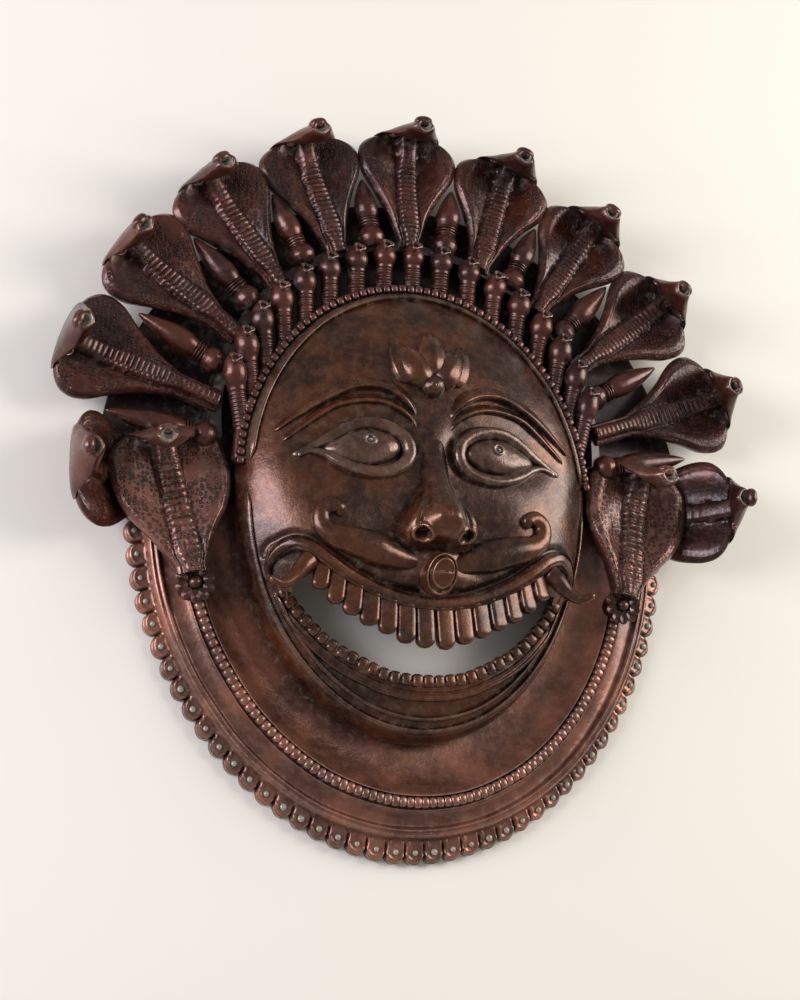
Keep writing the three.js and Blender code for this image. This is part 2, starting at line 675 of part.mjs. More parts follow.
// Cobra: a rimmed hood on a body, its neck bent forward over the top into the head
function cobra({ x, y, heading, body, halfWidth, length, level, raise, bend, thick }) {
  const hood = [body, length, ...HOOD.rows].map((down) => ({
    down,
    rise: 0,
    lean: 0,
    half: hoodHalfWidth(down, halfWidth, length),
    belly: mix(HOOD.bandHigh, HOOD.bandLow, smooth(down, HOOD.rows.at(-1), HOOD.bandFrom)),
    thick: mix(HOOD.thin, thick, smooth(down, HOOD.rows[0], length)),
  }));
  const head = HEAD.map((row, i) => ({ down: HEAD_STEP * (1 + i), ...row }));
  const rows = [...hood, ...head];
  const along = new THREE.Vector3(Math.sin(heading), Math.cos(heading), 0);
  const across = new THREE.Vector3(along.y, -along.x, 0);
  return skin(rows.map(cobraSection), (p, row) => {
    const { down, rise, lean } = rows[row];
    const raised = level + rise + raise * (1 - smooth(down, 0, bend));
    return new THREE.Vector3(x, y, raised + p.y * Math.cos(degrees(lean)))
      .addScaledVector(along, -down - p.y * Math.sin(degrees(lean)))
      .addScaledVector(across, p.x);
  });
}

function fanCobra(given) {
  const heading = degrees(given.angle);
  const { x, y } = aboutCentre(heading, given.radius, FAN.centreY);
  const body = given.radius - hoopReach(heading) + HOOD.root;
  return cobra({ ...HOOD, ...given, x, y, heading, body });
}

function crownCobras() {
  const [first, ...pairs] = HOOD.angles
    .map((angle, i) => fanCobra({ angle, radius: HOOD.radius - i * HOOD.closing, raise: 0 }));
  return [first, ...[...pairs, fanCobra(LOWEST_HOOD)].flatMap((one) => [one, mirrored(one)])];
}

const earCobra = () => cobra({ ...EAR_COBRA, heading: degrees(EAR_COBRA.angle) });

function rosette() {
  const { x, y, radius, top, depth, sides } = ROSETTE;
  const flower = new THREE.CylinderGeometry(radius, radius, depth, sides);
  flower.rotateX(Math.PI / 2);
  flower.translate(x, y, top - depth / 2);
  return solidOf(flower);
}

// The whole casting
function casting() {
  const notches = joined(spread(COLLAR.petals - 1, (i) => petalNotch(i + 1)));
  const plate = joined([collar().subtract(notches), crownBack(), faceShell()]);
  const sides = [brow(), eye(), tusk(), moustache(), earCobra(), rosette()];
  const hollowed = joined([plate, ...sides, ...sides.map(mirrored), nose(), beadBand()])
    .subtract(faceHollow())
    .subtract(mouthOpening());
  return joined([
    hollowed,
    lip(upperLine, LIP.upperOffset, 0),
    lip(lowerLine, LIP.lowerOffset, -LIP.lowerSink),
    upperTeeth(),
    lowerTeeth(),
    philtrum(),
    lotus(),
    ...crownCobras(),
    ...SPIKE_ANGLES.flatMap((angle) => [spike(degrees(angle)), spike(degrees(-angle))]),
    ...spread(2 * NAGA.pairs + 1, (i) => smallNaga(i - NAGA.pairs)),
  ]);
}

// The casting as a mesh, its box centred on the origin and resting on the floor
function maskMesh() {
  const corners = cleanSeams(cornersOf(casting()));
  const geometry = mergeVertices(new THREE.BufferGeometry().setFromPoints(corners));
  geometry.computeBoundingBox();
  const { min, max } = geometry.boundingBox;
  geometry.translate(-(min.x + max.x) / 2, -(min.y + max.y) / 2, -min.z);
  geometry.computeVertexNormals();
  const mesh = new THREE.Mesh(geometry, new THREE.MeshStandardMaterial(PATINA));
  mesh.name = 'mask';
  return mesh;
}

const group = new THREE.Group();
group.add(maskMesh());

export default group;
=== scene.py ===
import math
import random

import bmesh
import bpy
import numpy as np
from mathutils import Matrix, Vector, noise


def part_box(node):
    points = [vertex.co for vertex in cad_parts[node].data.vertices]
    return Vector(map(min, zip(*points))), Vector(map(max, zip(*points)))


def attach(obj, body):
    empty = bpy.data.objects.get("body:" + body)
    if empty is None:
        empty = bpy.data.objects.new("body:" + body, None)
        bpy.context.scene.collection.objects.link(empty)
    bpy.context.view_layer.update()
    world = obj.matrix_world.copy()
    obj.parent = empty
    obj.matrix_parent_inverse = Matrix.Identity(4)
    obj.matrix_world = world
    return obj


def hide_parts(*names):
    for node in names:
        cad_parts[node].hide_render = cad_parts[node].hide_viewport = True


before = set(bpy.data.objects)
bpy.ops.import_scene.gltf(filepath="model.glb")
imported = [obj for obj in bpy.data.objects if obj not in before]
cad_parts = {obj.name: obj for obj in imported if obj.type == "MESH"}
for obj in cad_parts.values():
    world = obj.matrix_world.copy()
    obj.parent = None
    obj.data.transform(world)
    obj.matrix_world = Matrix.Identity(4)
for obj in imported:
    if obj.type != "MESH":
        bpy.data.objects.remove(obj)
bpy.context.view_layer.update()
low_corner, high_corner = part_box("mask")
SEED = 7
random.seed(SEED)
noise.seed_set(SEED)

# Everything is drawn in millimetres on the casting's own centre lines:
# +X to the right, +Y to the crown, +Z out of the face
MM = 0.001
# The lowest petal's edge stands on the lower end of the casting's box
LOWEST_Y = -192
SHIFT_Y = LOWEST_Y - low_corner.y / MM
TO_METRES = Matrix.Scale(MM, 4) @ Matrix.Translation((0, -SHIFT_Y, 0))

# Points this close become one
MERGE = 0.004
# The casting's surface wavers over stretches this long
WAVER = 24
# Turns how sharply the surface bends, per metre, into a relief from -1 to 1
RELIEF_SCALE = 0.0011

# Face: half its width, its height over and under its centre, the dome's rise, the shell's wall
FACE_HALF = 101
FACE_UP = 118
FACE_DOWN = 135
FACE_CENTRE = 5
FACE_RISE = 31
WALL = 5
NECK_INSET = 3
NECK = 1 - NECK_INSET / FACE_HALF
HOLLOW = 1 - (NECK_INSET + WALL) / FACE_HALF
CROWN_EDGE = 20
CHIN_EDGE = 12.5

# Fan of hoods and spikes, and the hoop that stands inside it
FAN_Y = 10
HOOP_Y = 40
HOOP_RADIUS = 115


def smooth(value, start, end):
    """0 before start, 1 after end, eased between."""
    share = np.clip((np.asarray(value, float) - start) / (end - start), 0, 1)
    return share * share * (3 - 2 * share)


def bump(value, centre, width):
    """1 at the centre, falling away round on both sides."""
    return np.exp(-(((value - centre) / width) ** 2))


def mix(a, b, share):
    return a + (b - a) * share


def ends(v, reach):
    """0 at both ends of a strip, 1 a reach away from them."""
    return smooth(np.minimum(v, 1 - v), 0, reach)


def signed_power(value, power):
    return np.sign(value) * np.abs(value) ** power


def flow(knots, values, at):
    """A smooth curve through values at knots, read at any places."""
    knots = np.asarray(knots, float)
    values = np.asarray(values, float)
    slopes = np.gradient(values, knots, axis=0)
    at = np.clip(at, knots[0], knots[-1])
    i = np.clip(np.searchsorted(knots, at, side="right") - 1, 0, len(knots) - 2)
    gap = knots[i + 1] - knots[i]
    t = (at - knots[i]) / gap
    if values.ndim > 1:
        gap = gap[..., None]
        t = t[..., None]
    return (
        (2 * t**3 - 3 * t**2 + 1) * values[i]
        + (t**3 - 2 * t**2 + t) * gap * slopes[i]
        + (3 * t**2 - 2 * t**3) * values[i + 1]
        + (t**3 - t**2) * gap * slopes[i + 1]
    )


def measured(line):
    """How far along a line each of its points lies."""
    return np.r_[0, np.cumsum(np.linalg.norm(np.diff(line, axis=0), axis=1))]


def curve_of(points, count=90):
    """Evenly numbered places along a smooth curve through a few points."""
    points = np.asarray(points, float)
    steps = measured(points)
    return flow(steps / steps[-1], points, np.linspace(0, 1, count))


def spaced(line, values, count, ahead=0):
    """Reads values that go with a line's points at evenly spaced places along it."""
    steps = measured(line)
    at = (np.arange(count) + 0.5) / count * steps[-1] + ahead
    return [np.interp(at, steps, row) for row in values]


def from_curve(points, x, y):
    """Distance of each place from a curve, and on which side of it the place lies."""
    line = curve_of(points)
    best = np.full(x.shape, np.inf)
    side = np.ones(x.shape)
    for (ax, ay), (sx, sy) in zip(line[:-1], np.diff(line, axis=0)):
        t = np.clip(((x - ax) * sx + (y - ay) * sy) / (sx * sx + sy * sy), 0, 1)
        away = np.hypot(x - ax - t * sx, y - ay - t * sy)
        side = np.where(away < best, np.sign(sx * (y - ay) - sy * (x - ax)), side)
        best = np.minimum(away, best)
    return best, side


# Building: grids bent into shape, then merged where their edges meet


def bent_grid(columns, rows, place, is_open=None, edge_cuts=0):
    """A grid whose places come from place(u, v), u and v from 0 to 1, in millimetres."""
    bm = bmesh.new()
    bmesh.ops.create_grid(bm, x_segments=columns, y_segments=rows, size=0.5)
    if is_open:
        middles = np.array([face.calc_center_median()[:2] for face in bm.faces]) + 0.5
        gone = [face for face, out in zip(bm.faces, is_open(*middles.T)) if out]
        bmesh.ops.delete(bm, geom=gone, context="FACES")
    if edge_cuts:
        bmesh.ops.subdivide_edges(bm, edges=open_edges(bm), cuts=edge_cuts)
    flat = np.array([v.co[:2] for v in bm.verts]) + 0.5
    for v, p in zip(bm.verts, np.stack(place(flat[:, 0], flat[:, 1]), axis=1)):
        v.co = p
    bmesh.ops.remove_doubles(bm, verts=bm.verts, dist=MERGE)
    return bm


def add_copy(target, source, matrix=Matrix()):
    """Adds a moved copy of one shape to another."""
    mesh = bpy.data.meshes.new("copy")
    source.to_mesh(mesh)
    mesh.transform(matrix)
    target.from_mesh(mesh)
    bpy.data.meshes.remove(mesh)


def add_part(target, part, matrix=Matrix()):
    """Adds a shape that is needed only once, and frees it."""
    add_copy(target, part, matrix)
    part.free()


def moved(x, y, z):
    return Matrix.Translation((x, y, z))


def rotated(degrees, axis):
    return Matrix.Rotation(math.radians(degrees), 4, axis)


def placed(x, y, z, heading=0.0, scale=(1, 1, 1)):
    """Where a small shape goes: its +Y turned to a heading in radians, clockwise from the crown."""
    return moved(x, y, z) @ Matrix.Rotation(-heading, 4, "Z") @ Matrix.Diagonal((*scale, 1))


def add_beads(target, bead, spots, least, most):
    """Adds small shapes of slightly uneven size at places x, y, z, each with its heading."""
    for x, y, z, heading in spots:
        size = random.uniform(least, most)
        add_copy(target, bead, placed(x, y, z, heading, (size, size, size)))


def relief_of(mesh):
    """How convex (+) or hollow (-) the surface is round each vertex, from -1 to 1."""

    def read(items, name, width, kind=float):
        values = np.empty(len(items) * width, kind)
        items.foreach_get(name, values)
        return values.reshape(-1, width)

    co = read(mesh.vertices, "co", 3)
    normal = read(mesh.vertices, "normal", 3)
    a, b = read(mesh.edges, "vertices", 2, np.int32).T
    both = np.r_[a, b]
    other = np.r_[b, a]
    count = len(co)
    degree = np.maximum(np.bincount(both, minlength=count), 1)
    mean = np.stack([np.bincount(both, co[other, k], count) / degree for k in range(3)], 1)
    length = np.bincount(both, np.linalg.norm(co[both] - co[other], axis=1), count) / degree
    bend = np.einsum("ij,ij->i", normal, co - mean) / np.maximum(length, 1e-5) ** 2
    for _ in range(2):
        bend = (bend + np.bincount(both, bend[other], count) / degree) / 2
    return np.clip(bend * RELIEF_SCALE, -1, 1)


def mark_pale(bm, where=None, strength=1.0):
    """Marks the places where verdigris has settled."""
    layer = bm.verts.layers.float.get("pale") or bm.verts.layers.float.new("pale")
    for v in bm.verts:
        if where is None or where(v.co):
            v[layer] = strength


def carry(bm, edges, move):
    """Draws new rings of surface out of open edges, move setting where each new point goes."""
    made = bmesh.ops.extrude_edge_only(bm, edges=edges)["geom"]
    for v in (g for g in made if isinstance(g, bmesh.types.BMVert)):
        move(v)
    return [g for g in made if isinstance(g, bmesh.types.BMEdge)]


def open_edges(bm):
    return [edge for edge in bm.edges if edge.is_boundary]


def close_below(bm, level):
    """Carries the open edge of a boss down to a level under the face and closes it there."""

    def down(v):
        v.co.z = float(level(v.co.x, v.co.y))

    bmesh.ops.holes_fill(bm, edges=carry(bm, open_edges(bm), down))


def both_halves(bm):
    """Adds the mirror copy for the other side of the middle plane."""
    add_part(bm, bm.copy(), Matrix.Scale(-1, 4, (1, 0, 0)))
    return bm


def piece(bm, name, material, sharp=60, wobble=0.3):
    """Finishes a shape as one visible piece of the casting, in metres, in its place.

    Edges sharper than an angle in degrees stay sharp, and wobble is how far the surface wavers.
    """
    bmesh.ops.transform(bm, matrix=TO_METRES, verts=bm.verts)
    for v in bm.verts:
        v.co += noise.noise_vector(v.co / (WAVER * MM)) * (wobble * MM)
        v.co = [min(max(at, low), high) for at, low, high in zip(v.co, low_corner, high_corner)]
    bmesh.ops.recalc_face_normals(bm, faces=bm.faces)
    mesh = bpy.data.meshes.new(name)
    bm.to_mesh(mesh)
    bm.free()
    mesh.shade_smooth()
    mesh.set_sharp_from_angle(angle=math.radians(sharp))
    relief = mesh.attributes.new("relief", "FLOAT", "POINT")
    relief.data.foreach_set("value", relief_of(mesh).astype(np.float32))
    mesh.materials.append(material)
    made = bpy.data.objects.new(name, mesh)
    bpy.context.scene.collection.objects.link(made)
    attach(made, "root")
    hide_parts("mask")
    return made


# Materials


def colour(text):
    """An sRGB hex colour as linear numbers."""
    parts = [int(text[i : i + 2], 16) / 255 for i in (1, 3, 5)]
    linear = [c / 12.92 if c <= 0.04045 else ((c + 0.055) / 1.055) ** 2.4 for c in parts]
    return (*linear, 1)


def add_node(tree, kind, inputs=(), output=0, **settings):
    """Adds a node with its settings, values and links, and gives one of its outputs."""
    made = tree.nodes.new("ShaderNode" + kind)
    for name, value in settings.items():
        setattr(made, name, value)
    for socket, value in inputs.items() if isinstance(inputs, dict) else enumerate(inputs):
        if isinstance(value, bpy.types.NodeSocket):
            tree.links.new(value, made.inputs[socket])
        else:
            made.inputs[socket].default_value = value
    return made.outputs[output] if made.outputs else None


# Socket numbers of a colour mix, and the settings that its nodes and the eased ranges share
FACTOR, MIX_A, MIX_B = 0, 6, 7
MIXED = {"output": 2, "data_type": "RGBA"}
EASED = {"interpolation_type": "SMOOTHSTEP"}

# Sizes in the metal's surface: patches, mottle, hammer marks and pits, the struck rings' spacing, how near
# a wall shuts a place in (for painted shade and for verdigris), and the depth of pits and rings
PATCH_SIZE = 34
MOTTLE_SIZE = 5
HAMMER_SIZE = 3.2
PIT_SIZE = 1.3
RING_GAP = 2.4
RECESS_REACH = 14
PIT_DEPTH = 0.45
RING_DEPTH = 1.3

# Near black laid into the recesses: grime, and painted shade
GRIME_AND_SHADE = "#0E0807"
VERDIGRIS = "#9B9E8E"


def patinated_bronze(name, dark, warm, rubbed, gloss, stamped=0.0):
    """Bronze with a brown chemical patina, lost-wax cast, chased by hand and rubbed with wax.

    The eye sees a deep brown skin, warmer in broad patches, paler and shinier on the high places, near
    black in the recesses from grime and painted shade, with dull grey-green verdigris left in the grooves.
    """
    material = bpy.data.materials.new(name)
    material.use_nodes = True
    tree = material.node_tree
    tree.nodes.clear()
    place = add_node(tree, "TexCoord", output="Object")
    relief, panel, pale = (
        add_node(tree, "Attribute", output="Fac", attribute_name=mark)
        for mark in ("relief", "panel", "pale")
    )
    open_air = add_node(tree, "AmbientOcclusion", {"Distance": RECESS_REACH * MM}, "AO", samples=4)
    patches, mottle, speckle, hammered = (
        add_node(
            tree,
            "TexNoise",
            {"Vector": place, "Scale": 1 / (size * MM), "Detail": detail, "Roughness": rough},
            "Fac",
        )
        for size, detail, rough in (
            (PATCH_SIZE, 2, 0.55), (MOTTLE_SIZE, 4, 0.65), (PIT_SIZE, 2, 0.55), (HAMMER_SIZE, 3, 0.55)
        )
    )

    # Rings struck with a small punch over the outer parts of the hoods, about 2 mm apart, and drawn a
    # little wider apart so that they show
    cells = {"Vector": place, "Scale": 1 / (RING_GAP * MM), "Randomness": 0.6}
    from_ring = add_node(tree, "TexVoronoi", cells, "Distance")
    from_ring = add_node(tree, "Math", (from_ring, 0.3), operation="SUBTRACT")
    from_ring = add_node(tree, "Math", (from_ring,), operation="ABSOLUTE")
    struck = add_node(tree, "MapRange", (from_ring, 0.05, 0.19, stamped, 0), **EASED)
    struck = add_node(tree, "Math", (struck, panel), operation="MULTIPLY")

    # High places that hands and wax have rubbed, and recesses where grime stays, darkened further with
    # painted shade where walls shut them in
    high = add_node(tree, "Math", (mottle, 0.25, relief), operation="MULTIPLY_ADD")
    high = add_node(tree, "MapRange", (high, 0.18, 0.6, 0, 1), **EASED)
    hollow = add_node(tree, "MapRange", (relief, -0.08, -0.5, 0, 1), **EASED)
    # Painted shade: places that nearby walls shut in, read from ambient occlusion
    shut_in = add_node(tree, "MapRange", (open_air, 0.72, 0.3, 0, 1), **EASED)
    hollow = add_node(tree, "Math", (hollow, shut_in), operation="MAXIMUM")
    recess = add_node(tree, "Math", (struck, 0.9), operation="MULTIPLY")
    recess = add_node(tree, "Math", (hollow, recess), operation="MAXIMUM")

    # Verdigris in patches of the recesses that air reaches, and a crust where a shape is marked
    bloom = add_node(tree, "MapRange", (mottle, 0.5, 0.66, 0, 1), **EASED)
    for value, start, end, most in ((hollow, 0.25, 0.8, 1), (open_air, 0.12, 0.4, 0.55)):
        share = add_node(tree, "MapRange", (value, start, end, 0, most), **EASED)
        bloom = add_node(tree, "Math", (bloom, share), operation="MULTIPLY")
    crust = add_node(tree, "MapRange", (mottle, 0.25, 0.6, 0.3, 0.9), **EASED)
    crust = add_node(tree, "Math", (pale, crust), operation="MULTIPLY")
    bloom = add_node(tree, "Math", (bloom, crust), operation="MAXIMUM")

    # Colour: warm patches first, then each tint laid over it
    warmth = add_node(tree, "MapRange", (patches, 0.4, 0.62, 0, 1), **EASED)
    flecks = add_node(tree, "MapRange", (mottle, 0.35, 0.75, 0, 0.22), **EASED)
    worn = add_node(tree, "Math", (high, 0.75), operation="MULTIPLY")
    # Grime and painted shade darken the recesses and the struck rings
    grime_and_shade = add_node(tree, "Math", (recess, 0.72), operation="MULTIPLY")
    tint = colour(dark)
    for share, over in (
        (warmth, warm), (flecks, rubbed), (worn, rubbed), (grime_and_shade, GRIME_AND_SHADE), (bloom, VERDIGRIS)
    ):
        tint = add_node(tree, "Mix", {FACTOR: share, MIX_A: tint, MIX_B: colour(over)}, **MIXED)

    # Gloss: duller in the recesses, shinier where it is rubbed; verdigris isn't metal
    skin = add_node(tree, "MapRange", (speckle, 0.2, 0.8, gloss - 0.05, gloss + 0.09), **EASED)
    for value, change in ((recess, 0.22), (high, -0.06)):
        skin = add_node(tree, "Math", (value, change, skin), operation="MULTIPLY_ADD")
    metal = add_node(tree, "MapRange", (bloom, 0, 0.5, 0.55, 0.05), **EASED)

    height = add_node(tree, "Math", (speckle, 0.5, hammered), operation="MULTIPLY_ADD")
    bumped = {"Height": height, "Strength": 0.42, "Distance": PIT_DEPTH * MM}
    bumped = add_node(tree, "Bump", bumped)
    if stamped:
        rings = {"Height": struck, "Strength": 1, "Distance": -RING_DEPTH * MM, "Normal": bumped}
        bumped = add_node(tree, "Bump", rings)
    surface = {
        "Base Color": tint,
        "Roughness": skin,
        "Metallic": metal,
        "Normal": bumped,
        "Coat Weight": 0.45,
        "Coat Roughness": 0.24,
    }
    shader = add_node(tree, "BsdfPrincipled", surface)
    add_node(tree, "OutputMaterial", {"Surface": shader})
    return material


# The same patinated bronze all over, toned as in the photograph: reddish on the crown, deep and warm on the
# face; almost black on the plate behind it as painted shade, paler on eyes and rims partly from rubbing and
# partly as painted highlight, and palest on collar and ears as painted highlight
CROWN_BRONZE = patinated_bronze("crown_bronze", "#341711", "#552719", "#8C6157", 0.31, stamped=1.0)
# Near black: painted shade for the deep gaps between the hoods
SHADED_BACKING_BRONZE = patinated_bronze("shaded_backing_bronze", "#1C0E0A", "#29150F", "#452B24", 0.45)
FACE_BRONZE = patinated_bronze("face_bronze", "#2E1308", "#562B12", "#9C7155", 0.28)
# Paler bronze for rims, lids and eyeballs: partly rubbed wear, partly painted highlight
HIGHLIT_EYE_BRONZE = patinated_bronze("highlit_eye_bronze", "#42281B", "#6A4936", "#B39C8F", 0.24)
# Paler collar bronze: painted highlight
HIGHLIT_COLLAR_BRONZE = patinated_bronze("highlit_collar_bronze", "#5F3B2E", "#8E5944", "#BE9688", 0.31)
# Paler ear bronze: painted highlight
HIGHLIT_EAR_BRONZE = patinated_bronze("highlit_ear_bronze", "#563329", "#7F5043", "#B3917F", 0.33, stamped=1.0)

# How the finely chased parts of the face are finished
CHASED = {"sharp": 75, "wobble": 0.2}


# Face: its broad form first, the same as the casting's, then the modelling on it


def face_reach(x, y):
    """How far out a place on the face lies: 0 at the centre, 1 at the rim and beyond."""
    tall = np.where(y > FACE_CENTRE, FACE_UP, FACE_DOWN)
    return np.minimum(1, np.hypot(x / FACE_HALF, (y - FACE_CENTRE) / tall))


def egg_place(angle, reach=1.0):
    """A place on the face's outline, the angle clockwise from the crown."""
    up = math.cos(angle)
    tall = FACE_UP if up > 0 else FACE_DOWN
    return FACE_HALF * reach * math.sin(angle), FACE_CENTRE + reach * up * tall


def face_edge(y):
    """Height of the shell's edge above the floor."""
    return mix(CHIN_EDGE, CROWN_EDGE, smooth(y, -60, 30))


def broad_face(x, y):
    """Height of the plain dome with its eye sockets and cheeks."""
    x = np.abs(x)
    fullness = mix(4, 3.2, smooth(y, -40, 60))
    dome = FACE_RISE * np.maximum(1 - face_reach(x, y) ** fullness, 0) ** 0.7
    socket = 5 * bump(x, 46, 30) * bump(y, 23, 15)
    cheek = 4 * bump(x, 56, 24) * bump(y, -26, 20)
    return face_edge(y) + dome - socket + cheek


# Lines across the face, from the middle to the right corner of the mouth
UPPER_LIP = [
    (0, -60), (17, -58.5), (28, -55.5), (40, -50.5), (50, -45), (59, -39), (67, -33.5), (75, -31),
    (82, -34),
]
LOWER_LIP = [
    (0, -105.5), (12, -104.8), (23, -102.5), (34, -98), (45, -92.5), (56, -84.5), (66, -74.5), (75, -64),
    (81, -54),
]
TEETH_ROOT = [
    (0, -64.5), (17, -62.5), (27.5, -59.5), (39.5, -54.5), (49.5, -49), (59, -43), (67, -38.5), (74, -37),
]
TEETH_BASE = [
    (0, -101.5), (12, -100.8), (23, -98.8), (34, -94), (45, -88.5), (56, -81), (65, -72), (73, -62.5),
    (78, -54),
]


def line_y(points, x):
    """Height up the face of a line that runs across it."""
    return flow([p[0] for p in points], [p[1] for p in points], np.abs(x))


def face_front(x, y):
    """Height of the finished face: hollows beside the nose, a muzzle, and a groove over the lip."""
    side = np.abs(x)
    level = broad_face(x, y) - 3 * bump(side, 15, 7) * bump(y, 24, 10)
    muzzle = smooth(y, -56, -45) * (1 - smooth(y, -36, -24))
    level = level + 8 * bump(side, 0, 16) * muzzle
    lip_away, lip_side = from_curve(UPPER_LIP, side, y)
    level = level - 1.6 * bump(lip_away, 5.4, 1.6) * (lip_side > 0)
    under = smooth(line_y(LOWER_LIP, x) - y, -8, 0)
    return level - 2.6 * under * (1 - smooth(face_reach(x, y), 0.86, 0.98))


# The opening behind the teeth ends this far from the middle
MOUTH_HALF = 75


def opening_top(x):
    corner = smooth(np.abs(x), 58, MOUTH_HALF)
    return line_y(TEETH_ROOT, x) - 1.5 - 12 * corner


def opening_base(x):
    return line_y(TEETH_BASE, x) + 1.2


def mouth_is_open(x, y):
    return (np.abs(x) < MOUTH_HALF) & (y < opening_top(x)) & (y > opening_base(x))


def disc(u, v):
    """A square bent onto a round plate, its grid kept even."""
    a = 2 * u - 1
    b = 2 * v - 1
    return a * np.sqrt(1 - b * b / 2), b * np.sqrt(1 - a * a / 2)


def on_egg(a, b):
    """A round plate drawn out to the outline of the face."""
    return a * FACE_HALF, FACE_CENTRE + b * np.where(b > 0, FACE_UP, FACE_DOWN)


def gathered(y, x, centre=-30.6, reach=8, pull=0.8):
    """Draws the grid's rows together on the slope between the nose and the upper lip."""
    off = y - centre
    near = np.clip(1 - (off / reach) ** 2, 0, 1) ** 2 * (1 - smooth(np.abs(x), 19, 27))
    return centre + off * (1 - pull * near)


# Cells across the plain lining, and across each of them on the finished front
LINING_CELLS = 86
FINE = 3


def open_cell(u, v):
    """True for the cells of the face's grid that the mouth opens, the same ones front and back."""
    u = (np.floor(u * LINING_CELLS) + 0.5) / LINING_CELLS
    v = (np.floor(v * LINING_CELLS) + 0.5) / LINING_CELLS
    return mouth_is_open(*on_egg(*disc(u, v)))


def open_rims(bm):
    """The open edges of a face plate: its outer rim, and the rim of the mouth."""
    outer, mouth = [], []
    for edge in open_edges(bm):
        middle = (edge.verts[0].co + edge.verts[1].co) / 2
        (mouth if face_reach(middle.x, middle.y) < 0.9 else outer).append(edge)
    return outer, mouth


def even_mouth(edges, height):
    """Draws the stepped rim of the mouth onto its smooth upper and lower lines."""
    step = 2.6
    for v in {v for e in edges for v in e.verts}:
        lines = (float(opening_base(v.co.x)), float(opening_top(v.co.x)))
        nearest = min(lines, key=lambda line: abs(v.co.y - line))
        if abs(v.co.x) < MOUTH_HALF - 1 and abs(v.co.y - nearest) < step:
            v.co.y = nearest
        v.co.z = float(height(v.co.x, v.co.y))


def wall_down(bm, edges, steps):
    """Carries an open rim through rings, each a reach from the face's centre and a height."""
    for reach, height in steps:

        def to_ring(v):
            share = reach / float(face_reach(v.co.x, v.co.y)) if reach else 1
            v.co.x *= share
            v.co.y = FACE_CENTRE + (v.co.y - FACE_CENTRE) * share
            v.co.z = float(height(v.co.x, v.co.y))

        edges = carry(bm, edges, to_ring)


def lining_height(x, y):
    return broad_face(x, y) - WALL


def on_floor(x, y):
    return 0


def face():
    """The face shell: finished front, plain smooth lining, and the wall between them."""

    def front(u, v):
        x, y = on_egg(*disc(u, v))
        y = gathered(y, x)
        return x, y, face_front(x, y)

    def lining(u, v):
        x, y = on_egg(*disc(u, v))
        share = 1 - (1 - HOLLOW) * smooth(face_reach(x, y), 0.88, 1)
        return x * share, FACE_CENTRE + (y - FACE_CENTRE) * share, lining_height(x, y)

    bm = bent_grid(LINING_CELLS * FINE, LINING_CELLS * FINE, front, open_cell)
    outer, mouth = open_rims(bm)
    even_mouth(mouth, face_front)
    wall_down(bm, mouth, [(0, lining_height)])
    rings = [
        (1, lambda x, y: face_edge(y) - NECK_INSET),
        (NECK, lambda x, y: face_edge(y) - 2 * NECK_INSET),
        (NECK, on_floor),
        (HOLLOW, on_floor),
    ]
    wall_down(bm, outer, rings)
    back = bent_grid(LINING_CELLS, LINING_CELLS, lining, open_cell, edge_cuts=FINE - 1)
    back_outer, back_mouth = open_rims(back)
    even_mouth(back_mouth, lining_height)
    wall_down(back, back_outer, [(0, on_floor)])
    add_part(bm, back)
    bmesh.ops.remove_doubles(bm, verts=[v for v in bm.verts if v.is_boundary], dist=0.05)
    return piece(bm, "face", FACE_BRONZE, **CHASED)


# Swept and turned shapes


def swept(path, half, section, around=20, stations=60):
    """A closed form swept along a path: half(share) gives its size, section(angle) its outline."""
    line = curve_of(path, 200)
    line = line if line.shape[1] == 3 else np.c_[line, np.zeros(len(line))]
    heading = np.gradient(line, axis=0)
    heading /= np.linalg.norm(heading, axis=1)[:, None]
    across = np.cross(heading, [0, 0, 1.0])
    across /= np.linalg.norm(across, axis=1)[:, None]
    up = np.cross(across, heading)
    share_at = np.linspace(0, 1, len(line))

    def place(u, v):
        size = half(v)
        out, rise = section(2 * math.pi * u)
        at = [np.interp(v, share_at, line[:, k]) for k in range(3)]
        side = [np.interp(v, share_at, across[:, k]) for k in range(3)]
        top = [np.interp(v, share_at, up[:, k]) for k in range(3)]
        return [at[k] + size * (out * side[k] + rise * top[k]) for k in range(3)]

    return bent_grid(around, stations, place)


def round_section(angle):
    return np.cos(angle), np.sin(angle)


def turned(profile, around=20, rows=40):
    """A form turned about +Y: profile is (radius, distance) from end to end."""
    radii = np.array([p[0] for p in profile], float)
    lengths = np.array([p[1] for p in profile], float)
    knots = np.linspace(0, 1, len(profile))

    def place(u, v):
        radius = np.maximum(np.interp(v, knots, radii), 0)
        angle = 2 * math.pi * u
        return radius * np.cos(angle), np.interp(v, knots, lengths), radius * np.sin(angle)

    return bent_grid(around, rows, place)


def rounded_block(half_x, half_y, half_z, power=3.2, around=16, rows=10):
    """A pillow-like block with softened corners."""

    def place(u, v):
        turn = 2 * math.pi * u
        tilt = math.pi * (v - 0.5)

        ring, rise = signed_power(np.cos(tilt), 2 / power), signed_power(np.sin(tilt), 2 / power)
        out, up = signed_power(np.cos(turn), 2 / power), signed_power(np.sin(turn), 2 / power)
        return half_x * ring * out, half_y * ring * up, half_z * rise

    return bent_grid(around, rows, place)


def face_place(x, y, lift=0.0):
    return float(broad_face(x, y)) + lift


# Brows and eyes: strips and domes that follow the face


# Points across a strip on the face, and how far under the face its foot stands
STRIP_POINTS = 27
STRIP_FOOT = -3.5


